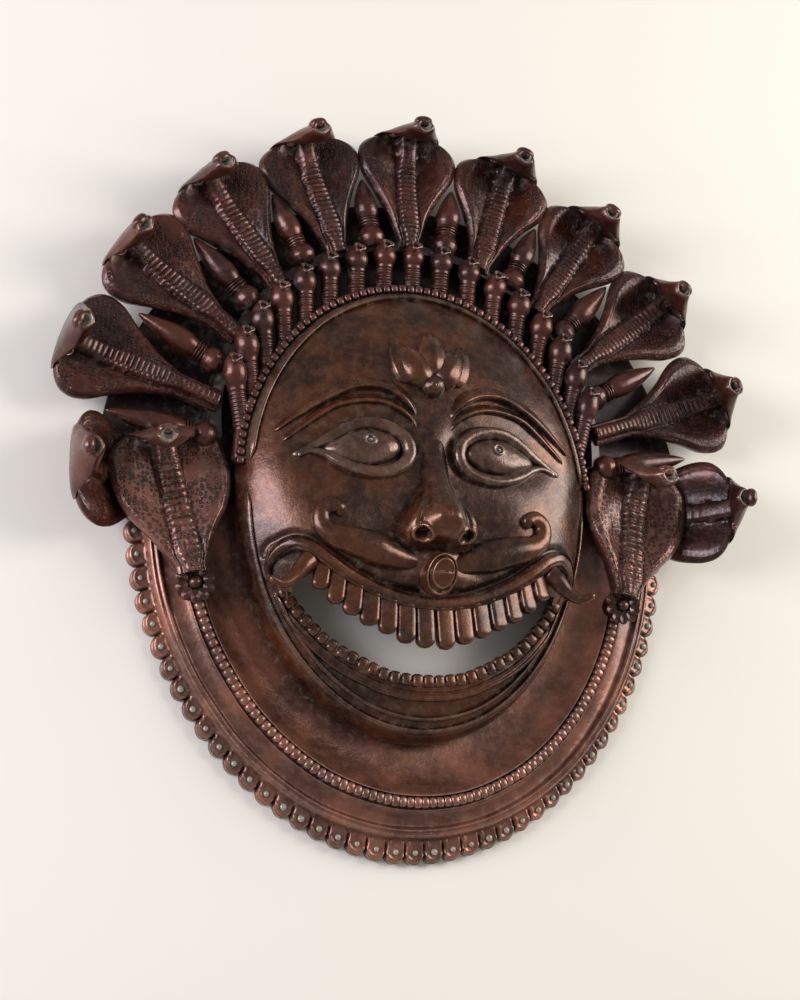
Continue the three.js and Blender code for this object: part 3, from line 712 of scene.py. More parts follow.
def ridge(path, profile, size, stations):
    """A strip along a line on the face: its profile gives places across it and heights over the face."""
    line = curve_of(path, stations + 1)
    heading = np.gradient(line, axis=0)
    heading /= np.linalg.norm(heading, axis=1)[:, None]
    section = curve_of(profile, STRIP_POINTS)
    section = np.r_[section, [(section[-1, 0], STRIP_FOOT), (section[0, 0], STRIP_FOOT)]]
    count = len(section)

    def place(u, v):
        k = np.rint(u * count).astype(int) % count
        row = np.rint(v * stations).astype(int)
        share = size(v)
        away = section[k, 0] * share
        x = line[row, 0] - heading[row, 1] * away
        y = line[row, 1] + heading[row, 0] * away
        rise = mix(-1.5, section[k, 1] * share, smooth(share, 0, 0.3))
        return x, y, broad_face(x, y) + rise

    return bent_grid(count, stations, place)


BROW_CREST = [
    (8.5, 37), (12.5, 44), (18.5, 49.5), (26, 53.5), (35, 55), (43, 54), (52.5, 50), (61.5, 45),
    (70, 39.5), (79, 33.5), (86, 28.5),
]
BROW_SECOND = [
    (8.5, 31), (12, 37), (18.5, 42), (26.5, 45.5), (35.5, 46.5), (44.5, 45.5), (53.5, 43),
    (62, 37.5), (71, 31), (82, 23),
]
BROW_FOLD = [
    (13, 23), (13.5, 26), (16, 31), (20, 34.5), (27, 37), (35, 37.5), (43, 36), (51, 32.5),
    (60, 27), (69, 22), (78, 15.5),
]
LID = [
    (78, 15), (68, 20.5), (59, 25.2), (51, 30), (43, 33.6), (35, 34.8), (27.5, 33.6), (20.5, 30.6),
    (15.6, 25.8), (14.2, 20), (16.6, 14), (22.3, 10), (29, 8.4), (36, 8), (44, 9.6), (52, 13.2),
    (59, 17.2), (66, 18.8), (76, 15.4),
]
# Across each strip: the distance above (+) or below (-) its line, and the height over the face
FIRST_BROW_SHAPE = [
    (-3.5, -1.5), (-1.8, -0.5), (-1.1, 0.8), (-0.5, 3.4), (0.3, 4.3), (1.3, 4.2), (2.6, 3.4),
    (3.9, 2.2), (5.2, 1.0), (6.4, 0), (7.6, -1.5),
]
SECOND_BROW_SHAPE = [
    (-3, -1.4), (-1.4, -0.4), (-0.8, 1), (0, 3), (0.8, 3.2), (1.7, 2.7), (2.8, 1.6), (4.4, 0.4),
    (5.4, -1),
]
FOLD_SHAPE = [(-1.8, -1), (-0.9, 0.4), (0, 1.2), (0.9, 0.4), (1.8, -1)]
LID_SHAPE = [
    (-3.9, -1.2), (-3.6, 1.4), (-2.8, 3.7), (-1.4, 4.7), (0, 4.9), (1.4, 4.7), (2.8, 3.7), (3.6, 1.4),
    (3.9, -1.2),
]
RIM_SHAPE = [
    (-2.3, -1.2), (-2.1, 0.8), (-1.5, 2.2), (-0.6, 3.0), (0.6, 3.0), (1.5, 2.2), (2.1, 0.8), (2.3, -1.2),
]
# Start and end clockwise from the crown, reach from the face's centre, and size of each rim
RIMS = [(-87, 87, 0.955, 1.1), (90, 270, 0.962, 0.85), (118, 242, 0.915, 0.45)]


def rims():
    """The rolled rim of the forehead inside the beads, and the two lines round the chin."""
    bm = bmesh.new()
    for start, end, reach, full in RIMS:
        path = [egg_place(math.radians(mix(start, end, i / 40)), reach) for i in range(41)]
        add_part(bm, ridge(path, RIM_SHAPE, lambda v: full * ends(v, 0.04), 200))
    # The paler bronze on the rims is painted highlight
    return piece(bm, "rims", HIGHLIT_EYE_BRONZE, **CHASED)


def tapering(tail):
    """Full size along a strip, easing in at the nose and down to the tail."""

    def size(v):
        eased = smooth(v, 0, 0.01) * smooth(v, -0.01, 0.2) * smooth(1 - v, 0, 0.05)
        return eased * (1 - (1 - tail) * smooth(v, 0.62, 1))

    return size


def brows():
    """Two sharp bands arched over each eye, and the fine fold above the lid."""
    bm = ridge(BROW_CREST, FIRST_BROW_SHAPE, tapering(0.4), 130)
    for path, shape in ((BROW_SECOND, SECOND_BROW_SHAPE), (BROW_FOLD, FOLD_SHAPE)):
        add_part(bm, ridge(path, shape, tapering(0.5), 130))
    return piece(both_halves(bm), "brows", FACE_BRONZE, **CHASED)


def lids():
    """A round lid that loops the eye and meets in a tail."""

    def size(v):
        return mix(0.4, 1, smooth(np.minimum(v, 1 - v), 0.04, 0.2)) * ends(v, 0.025)

    bm = ridge(LID, LID_SHAPE, size, 240)
    return piece(both_halves(bm), "eyelids", HIGHLIT_EYE_BRONZE, **CHASED)


EYE = (39.3, 21.6)
EYE_HALF = (21, 10.6)
PUPIL = (36.5, 25)


def eyeballs():
    """A long smooth ball in each eye, the pupil a ring round a dot."""

    def place(u, v):
        a, b = disc(u, v)
        x = EYE[0] + EYE_HALF[0] * a
        y = EYE[1] + EYE_HALF[1] * b * (1 - 0.3 * smooth(a, 0.1, 1)) - a
        dome = 7.6 * np.sqrt(np.maximum(1 - np.hypot(a, b) ** 2.2, 0))
        ring = np.hypot(x - PUPIL[0], y - PUPIL[1])
        pupil = 0.6 * bump(ring, 2.7, 0.6) + 0.6 * bump(ring, 0, 0.75) - 0.35 * bump(ring, 1.5, 0.5)
        return x, y, broad_face(x, y) - 0.5 + dome + pupil

    bm = bent_grid(64, 64, place)
    close_below(bm, lambda x, y: broad_face(x, y) - 3)
    return piece(both_halves(bm), "eyeballs", HIGHLIT_EYE_BRONZE, **CHASED)


# Mouth


def upper_lip_section(angle):
    """A broad round band between two thin ridges."""
    across = np.cos(angle)
    body = np.where(np.sin(angle) > 0, 0.75, -0.9) * np.abs(np.sin(angle)) ** 0.7
    lines = 0.2 * bump(np.abs(across), 0.8, 0.1) - 0.22 * bump(np.abs(across), 0.6, 0.08)
    return across, body + np.where(np.sin(angle) > 0, lines, 0)


def lower_lip_section(angle):
    """Three ridges side by side."""
    across = np.cos(angle)
    body = np.where(np.sin(angle) > 0, 0.55, -0.9) * np.abs(np.sin(angle)) ** 0.6
    lines = 0.13 * np.cos(across * math.pi * 2.9)
    return across, body + np.where(np.sin(angle) > 0, lines * np.abs(np.sin(angle)) ** 0.5, 0)


def both_sides(points):
    """A line across the face, from the left corner of the mouth to the right one."""
    return [(-x, y) for x, y in points[:0:-1]] + points


def lips():
    """The upper lip with its ends turned down over the corners, and the ridged lower lip."""
    corner = [(86, -40), (85.5, -47)]
    upper = [(x, y, face_place(x, y, 2.2)) for x, y in both_sides(UPPER_LIP + corner)]
    lower = [(x, y, face_place(x, y, -2.4)) for x, y in both_sides(LOWER_LIP)]

    def full(v):
        return mix(1.6, 4.4, ends(v, 0.12)) * ends(v, 0.006)

    bm = swept(upper, full, upper_lip_section, around=44, stations=190)
    add_part(bm, swept(lower, lambda v: full(v) * 0.95, lower_lip_section, around=40, stations=170))
    return piece(bm, "lips", FACE_BRONZE, sharp=70, wobble=0.2)


def tooth(half, tall):
    """A flat tooth with softened sides, closed at the root and round at its lower end."""
    round_from = -0.55
    root_from = 0.96

    def place(u, v):
        turn = 2 * math.pi * u
        along = 2 * v - 1
        closing = np.sqrt(np.clip(1 - ((along - round_from) / (1 + round_from)) ** 2, 0, 1))
        closing = np.where(along < round_from, closing, 1)
        closing = closing * np.where(along > root_from, 1 - (along - root_from) / (1 - root_from), 1)
        depth = signed_power(np.sin(turn), 0.62)
        thick = np.where(depth > 0, 3.4, 4.0) * np.maximum(closing, 0) ** 0.6
        return half * signed_power(np.cos(turn), 0.42) * closing, along * tall / 2, thick * depth

    return bent_grid(22, 22, place)


def upper_teeth():
    """Fourteen flat teeth, long in the middle and fanned out to the corners."""
    bm = bmesh.new()
    for i in range(7):
        x = 5.6 + 10.6 * i - 0.22 * i * i
        share = x / 77
        root = float(line_y(TEETH_ROOT, x)) + 2.5
        for side in (-1, 1):
            tall = mix(23.5, 15.5, share) + random.uniform(-0.8, 0.8)
            half = mix(5.25, 4.75, share) + random.uniform(-0.25, 0.15)
            spot = moved(side * x, root - tall / 2, face_place(x, root - 4, 2.2))
            spot = spot @ rotated(side * share * 12, "Z") @ rotated(side * share * 24, "Y")
            add_part(bm, tooth(half, tall), spot @ rotated(-4, "X"))
    return piece(bm, "upper_teeth", FACE_BRONZE, sharp=70)


def lower_teeth():
    """Small rounded square teeth along the lower lip."""
    bm = bmesh.new()
    block = rounded_block(2.95, 3.5, 2.9, power=3.4)
    path = curve_of(both_sides(TEETH_BASE), 400)
    count = 31
    spots = [
        (x, y + 2.4, face_place(x, y, -2.6), -math.atan2(ahead_y - y, ahead_x - x))
        for x, y, ahead_x, ahead_y in zip(*spaced(path, path.T, count), *spaced(path, path.T, count, 1))
    ]
    add_beads(bm, block, spots, 0.92, 1.05)
    block.free()
    return piece(bm, "lower_teeth", FACE_BRONZE, sharp=70)


TUSK = [(67, -39, 42), (71, -43, 44), (77, -50, 45.5), (84, -54, 47.5), (91, -51.5, 50)]


def tusks():
    """A tusk at each corner of the mouth, curled up to a blunt point."""

    def half(v):
        return mix(5.6, 1.5, v**1.2) * smooth(v, 0, 0.05) * smooth(1 - v, 0, 0.04)

    bm = swept(TUSK, half, round_section, around=24, stations=48)
    return piece(both_halves(bm), "tusks", FACE_BRONZE)


MOUSTACHE = [
    (1, -40.5), (7, -39.4), (15, -37.8), (25, -35.2), (37, -31.8), (48, -29.2), (56.5, -26.8),
    (62, -21.5), (62, -14.6), (57.6, -11.4), (53.4, -13.6), (53, -17.6),
]
# Its half width at each of those places
MOUSTACHE_HALF = [0.2, 4.2, 6.2, 8.0, 9.3, 8.8, 7.8, 6.7, 5.5, 4.8, 4.3, 3.9]


def moustache():
    """A spindle each side of the lip, its end hooked up over a hollow."""
    path = [(x, y, face_place(x, y, 1.2)) for x, y in MOUSTACHE]
    knots = np.linspace(0, 1, len(MOUSTACHE_HALF))

    def half(v):
        rounded_end = np.sqrt(np.clip((1 - v) / 0.05, 0, 1))
        return flow(knots, MOUSTACHE_HALF, v) * smooth(v, 0, 0.02) * rounded_end

    bm = swept(path, half, lambda angle: (np.cos(angle), 0.85 * np.sin(angle)), around=40, stations=120)
    return piece(both_halves(bm), "moustache", FACE_BRONZE)


PHILTRUM_Y = -47
PHILTRUM_HALF = (9.4, 11.5)


def philtrum():
    """A tilted oval boss with a double outline and a line across, between nose and lip."""

    def place(u, v):
        a, b = disc(u, v)
        reach = np.hypot(a, b)
        up = b * PHILTRUM_HALF[1]
        level = 60 + 0.55 * up - 9 * (1 - np.sqrt(np.maximum(1 - reach**3, 0)))
        level = level + 1.1 * bump(reach, 0.86, 0.07) - 1.1 * bump(reach, 0.72, 0.05)
        level = level + 0.9 * bump(reach, 0.6, 0.06) - 0.8 * bump(b, 0.1, 0.05) * (reach < 0.55)
        return a * PHILTRUM_HALF[0], PHILTRUM_Y + up, level

    bm = bent_grid(60, 60, place)
    close_below(bm, lambda x, y: 41)
    return piece(bm, "philtrum", FACE_BRONZE, sharp=70)


# Down the nose and round under its tip: share of the way, place up the face, height, half width
NOSE_LINE = [
    (0, 36, 47, 4), (0.08, 28, 50.5, 6.5), (0.2, 18, 53, 8), (0.34, 5, 60, 10.5), (0.46, -7, 68, 14.5),
    (0.54, -14, 72.2, 18.5), (0.6, -18.5, 73.2, 21), (0.67, -22.5, 71.6, 22.4), (0.76, -26.6, 67.4, 22.2),
    (0.86, -30, 61, 20.5), (0.94, -32, 54, 18), (1, -33, 46, 16),
]
# From the middle line out to the foot: share of the half width, share of the height lost
BRIDGE_SHAPE = [(0, 0), (0.35, 0.1), (0.55, 0.3), (0.75, 0.58), (0.9, 0.84), (1, 1)]
WING_SHAPE = [
    (0, 0), (0.28, 0.035), (0.48, 0.2), (0.58, 0.31), (0.7, 0.3), (0.82, 0.36), (0.93, 0.6), (1, 1),
]
NOSTRIL = (12.4, -28.2, 63.2)


def nose():
    """One full form from the bridge to the wings, with a rimmed nostril under each wing."""
    share, up, high, half = zip(*NOSE_LINE)

    def form(u, v):
        across = np.clip(2 * u - 1, -1, 1)
        y = flow(share, up, v)
        x = flow(share, half, v) * across
        foot = broad_face(x, y) - 1.5
        bridge = flow(*zip(*BRIDGE_SHAPE), np.abs(across))
        wing = flow(*zip(*WING_SHAPE), np.abs(across))
        lost = mix(bridge, wing, smooth(v, 0.3, 0.58))
        z = mix(np.maximum(flow(share, high, v), foot), foot, lost)
        ended = smooth(v, 0, 0.05) * (1 - smooth(v, 0.985, 1))
        return np.stack([x, y - 1.2 * np.abs(across) * smooth(v, 0.5, 0.7), mix(foot, z, ended)])

    def place(u, v):
        step = 0.004
        at = form(u, v)
        across = form(u + step, v) - form(u - step, v)
        down = form(u, v + step) - form(u, v - step)
        outward = np.cross(down, across, axis=0)
        outward /= np.maximum(np.linalg.norm(outward, axis=0), 1e-6)
        away = np.linalg.norm([np.abs(at[0]) - NOSTRIL[0], at[1] - NOSTRIL[1], at[2] - NOSTRIL[2]], axis=0)
        lift = 1.2 * bump(away, 5.4, 1.1) - 5.5 * (1 - smooth(away, 1.8, 4.8))
        return at + outward * lift

    bm = bent_grid(120, 150, place)
    close_below(bm, lambda x, y: broad_face(x, y) - 3)
    return piece(bm, "nose", FACE_BRONZE, sharp=75)


def leaf(x, y, lean, half_x, half_y, stand):
    """A pointed petal lying on the face, a soft ridge down its middle, leaning clockwise."""
    lean = math.radians(lean)

    def place(u, v):
        across = np.cos(2 * math.pi * u)
        depth = np.sin(2 * math.pi * u)
        share = np.clip(v, 0, 1)
        full = 2 * share**0.42 * (1 - share) ** 0.6
        rise = np.where(depth > 0, stand, 3) * signed_power(depth, 0.9)
        lines = 0.5 * bump(across, 0, 0.12) + 0.6 * bump(np.abs(across), 0.86, 0.07)
        out = half_x * full * across
        up = half_y * (2 * v - 1)
        at_x = x + out * math.cos(lean) + up * math.sin(lean)
        at_y = y - out * math.sin(lean) + up * math.cos(lean)
        return at_x, at_y, broad_face(at_x, at_y) + (rise + lines * (depth > 0)) * np.minimum(full, 1)

    return bent_grid(32, 40, place)


# Place, lean, half sizes and height of the lotus's middle petal, and of those on its right
LOTUS_MIDDLE = (0, 77, 0, 8.6, 15, 8.6)
LOTUS_SIDE = [(9.8, 69.5, 30, 8.8, 13.5, 8.2), (17.2, 72, 14, 6.2, 13.5, 4.4)]
LOTUS_BALL_Y = 58


def lotus():
    """The lotus bud on the forehead: middle petal, side petals, flat outer leaves, a ball below."""
    bm = leaf(*LOTUS_MIDDLE)
    for side in (-1, 1):
        for x, y, lean, *sizes in LOTUS_SIDE:
            add_part(bm, leaf(side * x, y, side * lean, *sizes))
    ball = rounded_block(6.4, 6.4, 6.4, power=2, around=28, rows=18)
    add_part(bm, ball, moved(0, LOTUS_BALL_Y, face_place(0, LOTUS_BALL_Y, 1.4)))
    ring = [(0, 0), (1.2, 0), (2.1, 0.5), (2.4, 1), (2, 1.4), (1.4, 1.2), (0.8, 1.4), (0, 1.5)]
    spot = moved(-1.5, LOTUS_BALL_Y - 1, face_place(0, LOTUS_BALL_Y, 7.0))
    add_part(bm, turned(ring, 16, 20), spot @ rotated(90, "X"))
    return piece(bm, "lotus", FACE_BRONZE)


# Bead band over the forehead


def bead_band():
    """A round band over the forehead with a row of beads on it and a ball beside each ear."""
    bm = bmesh.new()
    span = math.radians(86)
    path = [(*egg_place(mix(-span, span, i / 24)), CROWN_EDGE + 1) for i in range(25)]
    add_part(bm, swept(path, lambda v: 0.9 * 4.4 * ends(v, 0.012), round_section, 20, 150))
    bead = rounded_block(2.05, 2.25, 2.4, power=3.6, around=16, rows=8)
    line = curve_of(path, 600)
    places = zip(*spaced(line, line.T[:2], 68))
    spots = [(x, y, CROWN_EDGE + 5.2, math.atan2(x, y - FACE_CENTRE)) for x, y in places]
    add_beads(bm, bead, spots, 0.9, 1.06)
    ball = rounded_block(3.6, 3.6, 3.8, power=2, around=16, rows=12)
    for side in (-1, 1):
        add_copy(bm, ball, moved(side * 95, 46, 24))
    return piece(bm, "bead_band", CROWN_BRONZE)


# Collar


COLLAR_Y = -5
# How far the collar reaches round to each side, in degrees from its lowest point
SPAN = 91
PETALS = 45
PETAL_COLUMNS = 14
PETAL_ROWS = 15
# Rows of the grid between two lines of the table below
LINE_ROWS = 3
# Half width, depth down from the collar's centre, height at the sides, height at the bottom
COLLAR_LINES = [
    (94, 118, 4.5, 5.5),
    (100, 126, 4.2, 5.2),
    (108, 136, 5.0, 6.8),
    (115, 144, 7.5, 10.5),
    (121, 150, 11.5, 16),
    (123.4, 152.4, 13.2, 18),
    (124.4, 153.4, 11.5, 16),
    (127, 156, 11.5, 16),
    (129.8, 158.8, 11.4, 15.9),
    (130.8, 159.8, 12.2, 16.4),
    (132, 161, 11, 14.8),
    (136, 164, 9.6, 12),
    (140, 167.5, 9.2, 10.9),
    (141.3, 168.7, 10.8, 12),
    (142.6, 170, 11.6, 12.8),
    (144, 171.3, 10.7, 11.9),
    (145.4, 172.6, 11.4, 12.5),
    (146.8, 173.8, 9.5, 10.6),
    (148, 175, 6.6, 7.4),
]
COLLAR_BACK = [(146, 173, 0, 0), (142, 169, 6, 7), (127, 156, 8, 12), (111, 139, 0, 0), (94, 118, 0, 0)]
RIM = (157.5, 187)
STUD_LINE = (152.6, 181)
CHAIN_LINE = (127, 156)


def ellipse_place(angle, half, down, power=2.0):
    """A place on a line round the collar, the angle measured from its lowest point."""
    across = np.sin(angle)
    along = np.cos(angle)
    reach = (np.abs(across) ** power + np.abs(along) ** power) ** (-1 / power)
    return half * reach * across, COLLAR_Y - down * reach * along


def collar():
    """The dished collar, its double ridge and its edge of petals."""
    lines = np.array(COLLAR_LINES)
    last = len(lines) - 1
    top = flow(np.arange(last + 1), lines, np.linspace(0, last, LINE_ROWS * last + 1))
    back = np.array(COLLAR_BACK)
    petal_start = len(top)
    under_row = petal_start + PETAL_ROWS
    back_start = under_row + 2
    rows = back_start + len(back)

    def on_lines(table, row, angle, share):
        half, down, side, bottom = table[np.clip(row, 0, len(table) - 1)].T
        return (*ellipse_place(angle, half, down), mix(side, bottom, share))

    def on_petals(u, row, angle, share):
        in_petal = (u * PETALS) % 1 - 0.5
        in_petal = np.where(np.isclose(np.abs(in_petal), 0.5), 0.5, in_petal)
        pull = 6.2 * (1 - np.sqrt(np.clip(1 - (1.96 * in_petal) ** 2, 0, 1)))
        out = np.clip((row - petal_start + 1) / PETAL_ROWS, 0, 1)
        eased = np.sin(out * math.pi / 2) ** 0.9
        inner_x, inner_y = ellipse_place(angle, *lines[-1][:2])
        rim_x, rim_y = ellipse_place(angle, *RIM, power=1.9)
        width = np.hypot(rim_x - inner_x, rim_y - inner_y)
        reach = eased * (1 - pull / width)
        from_side = (0.5 - np.abs(in_petal)) * 12
        from_edge = (1 - eased) * (width - pull)
        level = mix(mix(6.6, 7.4, share), mix(5.0, 5.8, share), eased)
        # A raised line inside the outline, a cut between petals, and a rounded edge
        level += 0.55 * bump(from_edge, 1.9, 0.8) + 0.5 * bump(from_side, 1.9, 0.8) * (out > 0)
        level -= 1.7 * bump(from_side, 0, 0.55) * smooth(out, 0, 0.15)
        level -= 1.3 * (1 - smooth(from_edge, 0, 1.6)) * (out > 0.4)
        level = np.select([row < under_row, row == under_row], [level, 1.2], 0)
        return mix(inner_x, rim_x, reach), mix(inner_y, rim_y, reach), level

    def place(u, v):
        row = np.rint(v * rows).astype(int) % rows
        angle = np.radians(mix(-SPAN, SPAN, u))
        share = np.cos(angle) ** 2
        parts = (
            on_lines(top, row, angle, share),
            on_petals(u, row, angle, share),
            on_lines(back, row - back_start, angle, share),
        )
        return [np.select([row < petal_start, row < back_start], [a, b], c) for a, b, c in zip(*parts)]

    bm = bent_grid(PETALS * PETAL_COLUMNS, rows, place)
    bmesh.ops.holes_fill(bm, edges=open_edges(bm))
    return piece(bm, "collar", HIGHLIT_COLLAR_BRONZE, sharp=65, wobble=0.35)


def petal_studs():
    """A small round stud on each petal."""
    bm = bmesh.new()
    mark_pale(bm)
    stud = rounded_block(1.75, 1.75, 1.0, power=2.2, around=12, rows=6)
    mark_pale(stud)
    for i in range(PETALS):
        angle = math.radians(mix(-SPAN, SPAN, (i + 0.5) / PETALS))
        x, y = ellipse_place(angle, *STUD_LINE, power=1.93)
        size = random.uniform(0.8, 1.1)
        height = mix(6.4, 7.0, math.cos(angle) ** 2)
        add_copy(bm, stud, placed(x, y, height, 0, (size, size, 1)))
    return piece(bm, "petal_studs", HIGHLIT_COLLAR_BRONZE)


def chain():
    """A string of beads that hangs from the two rosettes round the collar."""
    bm = bmesh.new()
    bead = rounded_block(2.5, 2.9, 2.6, power=2.8, around=12, rows=8)
    span = math.radians(73)
    angles = np.linspace(-span, span, 700)
    line = np.stack(ellipse_place(angles, *CHAIN_LINE), 1)
    spots = []
    for angle in spaced(line, [angles], 84)[0]:
        x, y = ellipse_place(angle, *CHAIN_LINE)
        spots.append((x, y, mix(13.4, 17.9, math.cos(angle) ** 2), math.atan2(x, y - COLLAR_Y)))
    add_beads(bm, bead, spots, 0.9, 1.04)
    return piece(bm, "chain", HIGHLIT_COLLAR_BRONZE)


# Cobras


# Half widths of the hoods at distances down from the top edge
CROWN_HOOD = [(0, 12), (5, 23.5), (9, 28), (14, 30), (23, 28.6), (37, 19.5), (51, 11.6), (65, 6.3)]
EAR_HOOD = [
    (0, 14), (5, 24), (9.5, 29), (18, 31.3), (35, 31), (42, 28.6), (49, 25), (56, 19.7),
    (64, 14.3), (71, 10), (76, 7.6),
]
# The hood's edge lies this far under its middle level
RIM_DROP = -2.2
# The head bends forward out of the hood's top edge and ends in a knob. For each ring of it: how far
# down from the top edge, rise, lean in degrees, half width, depth to the throat and to the nape.
HEAD = [
    (3, 0, 6, 20.0, 3.2, 6),
    (3.2, 3.2, 24, 18.4, 4.8, 6.4),
    (4, 7, 44, 16.0, 6.2, 6.6),
    (5.2, 12, 60, 13.4, 6.8, 6.4),
    (6.4, 17, 72, 11.0, 6.6, 6.2),
    (7.4, 21.5, 82, 8.9, 5.9, 6.0),
    (8, 25, 88, 7.4, 5.3, 5.8),
    (8, 27.4, 90, 6.2, 4.8, 5.4),
    (8, 28.9, 90, 4.9, 3.8, 4.4),
    (8, 28.6, 90, 3.7, 2.7, 3.1),
    (8, 27.0, 90, 3.0, 2.1, 2.4),
    (8, 25.6, 90, 2.0, 1.3, 1.5),
    (8, 25.2, 90, 0, 0, 0),
]


# Columns round the front and the back of a cobra, rows of its head, and the height of a hood's row
FRONT_COLUMNS = 54
BACK_COLUMNS = 12
HEAD_ROWS = 50
HOOD_ROW = 0.58
# Across, along and above: the knob from the snout, an eye from the middle of the hood's top edge
KNOB = (0, 3.7, 25.2)
COBRA_EYE = (11.6, -6.6, 9.4)


def cobra(outline, body, belt=5.6, pitch=2.9, droop=0.0, thick=9, lift=0, bend=76):
    """A hooded cobra lying along +Y, its top edge at the origin and its head bent forward.

    The outline gives the hood's half widths, body is its full length, belt the half width of its
    ribbed belly and pitch the ribs' spacing. Droop draws the head down the hood, thick is how deep
    the lower end is behind, and lift raises the top edge, fading out over bend.
    """
    front, back = FRONT_COLUMNS, BACK_COLUMNS
    top = HEAD[0][0]
    neck = outline[-1][0]
    hood_rows = int((body - top) / HOOD_ROW)
    downs = np.linspace(body, top, hood_rows)
    fine = np.linspace(0, len(HEAD) - 1, HEAD_ROWS)
    head = flow(np.arange(len(HEAD)), np.array(HEAD, float), fine)
    head[:, 3:] = np.maximum(head[:, 3:], 0)
    head[-1, 3:] = 0
    knots, halves = zip(*outline)
    # From the closed lower end over the hood to the knob
    along = np.r_[body, -0.001 + downs, head[:, 0] + droop * smooth(head[:, 1], 0, 22)]
    rise = np.r_[0, np.zeros(hood_rows), head[:, 1]]
    lean = np.radians(np.r_[0, np.zeros(hood_rows), head[:, 2]])
    wide = np.r_[0, flow(knots, halves, downs), head[:, 3]]
    throat = np.r_[0, mix(4.2, 0.4, smooth(downs, 6, 26)), head[:, 4]]
    nape = np.r_[0, mix(5, thick, smooth(downs, 44, neck)), head[:, 5]]
    headed = np.r_[0, np.zeros(hood_rows), smooth(fine, 0, 2.5)]
    ribbed = np.r_[0, smooth(downs, 11, 21) * (1 - 0.5 * smooth(downs, neck - 6, neck)), 0 * fine]
    path = np.r_[0, body - downs, body - top + fine]
    rows = len(along) - 1
    around = front + back

    def place(u, v):
        row = np.rint(v * rows).astype(int)
        k = np.rint(u * around).astype(int)
        in_front = k <= front
        share = np.where(in_front, k / front, (k - front) / back)
        turn = np.where(in_front, math.pi * share, math.pi * (1 + share))
        even = np.where(in_front, 1 - 2 * share, 2 * share - 1)
        cos, sin = np.cos(turn), np.abs(np.sin(turn))
        a = wide[row]
        across = np.where(in_front, a * (0.5 * cos + 0.5 * even), a * cos)
        edge = a - np.abs(across)
        half_belt = np.minimum(belt, 0.62 * np.maximum(a, 0.1))
        off = np.abs(across) / half_belt
        dip = np.minimum(5.0, 0.18 * a)
        # Lobe: rolls over at its edge, then sinks to a trough beside the belt
        roll = (1.3 - RIM_DROP) * (1 - (1 - np.clip(edge / 5, 0, 1)) ** 2)
        inward = np.clip(edge / np.maximum(a - half_belt, 1), 0, 1)
        panel = -dip * smooth(inward, 0.25, 1)
        incised = -0.5 * bump(edge, 4.6, 0.5) * smooth(a, 10, 16)
        rib = np.abs(np.sin(math.pi * path[row] / pitch)) ** 0.7 - 0.8
        middle = 0.35 * bump(off, 0, 0.16) * (belt > 6)
        belt_top = 2.6 + throat[row] + (0.95 * rib - middle) * ribbed[row]
        raised_belt = np.where(off < 1, belt_top * np.clip(1 - off**3.6, 0, 1) ** 0.4, 0)
        groove = -0.5 * bump(off, 1.14, 0.1) * ribbed[row]
        there = smooth(a, 0, 3)
        hooded = RIM_DROP + there * (roll + panel + incised + raised_belt + groove)
        behind = RIM_DROP - there * (dip + nape[row] + RIM_DROP) * sin**0.45
        hooded = np.where(in_front, hooded, behind)
        pinch = mix(0.95, 1.3, smooth(rise[row], 14, 26))
        pointed = np.where(in_front, throat[row], -nape[row]) * sin**pinch
        across = mix(across, a * signed_power(cos, pinch), headed[row])
        level = mix(hooded, pointed, headed[row])
        raised = lift * (1 - smooth(along[row], 0, bend))
        tilt = lean[row]
        return across, -along[row] - level * np.sin(tilt), rise[row] + raised + level * np.cos(tilt)

    bm = bent_grid(around, rows, place)
    snout = HEAD[-1][0] + droop
    mark_pale(bm, lambda co: math.hypot(co.x, co.y + snout) < 3.4 and co.z > 22 + lift, 0.8)
    knob = rounded_block(5.4, 3.2, 4.2, power=2.2, around=16, rows=10)
    mark_pale(knob, lambda co: False)
    x, y, z = KNOB
    add_part(bm, knob, moved(x, y - snout, z + lift))
    eye = rounded_block(1.7, 1.7, 1.7, power=2, around=12, rows=8)
    socket = turned([(0, 0), (2.2, 0), (2.9, 0.7), (2.6, 1.5), (1.9, 1.3), (0, 1.2)], 16, 12)
    x, y, z = COBRA_EYE
    for side in (-1, 1):
        spot = moved(side * x, y - 0.3 * droop, z + lift) @ rotated(side * 30, "Y") @ rotated(62, "X")
        add_copy(bm, eye, spot @ moved(0, 0.9, 0))
        add_copy(bm, socket, spot)
    eye.free()
    socket.free()
    return bm


def add_panel_marks(made, share=0.3):
    """Marks the patches of a hood that carry struck rings, on its upward faces only."""
    patch = 16 * MM
    values = [
        float(smooth(noise.noise(v.co / patch) + share, 0.0, 0.35) * smooth(v.normal.z, 0.5, 0.85))
        for v in made.data.vertices
    ]
    made.data.attributes.new("panel", "FLOAT", "POINT").data.foreach_set("value", values)


def hoop_reach(heading):
    """How far the hoop stands from the fan's centre on a heading."""
    rise = HOOP_Y - FAN_Y
    return rise * math.cos(heading) + math.sqrt(HOOP_RADIUS**2 - (rise * math.sin(heading)) ** 2)


def on_fan(heading, radius, height):
    """A place on the fan, turned to face outwards."""
    return placed(radius * math.sin(heading), FAN_Y + radius * math.cos(heading), height, heading)


# Headings of the hoods in degrees. The lowest one at each side hangs lower, its top edge lifted.
HOODS = [0, 17.6, 34.8, 52.1, 70.4]
LOWEST_HOOD = 91


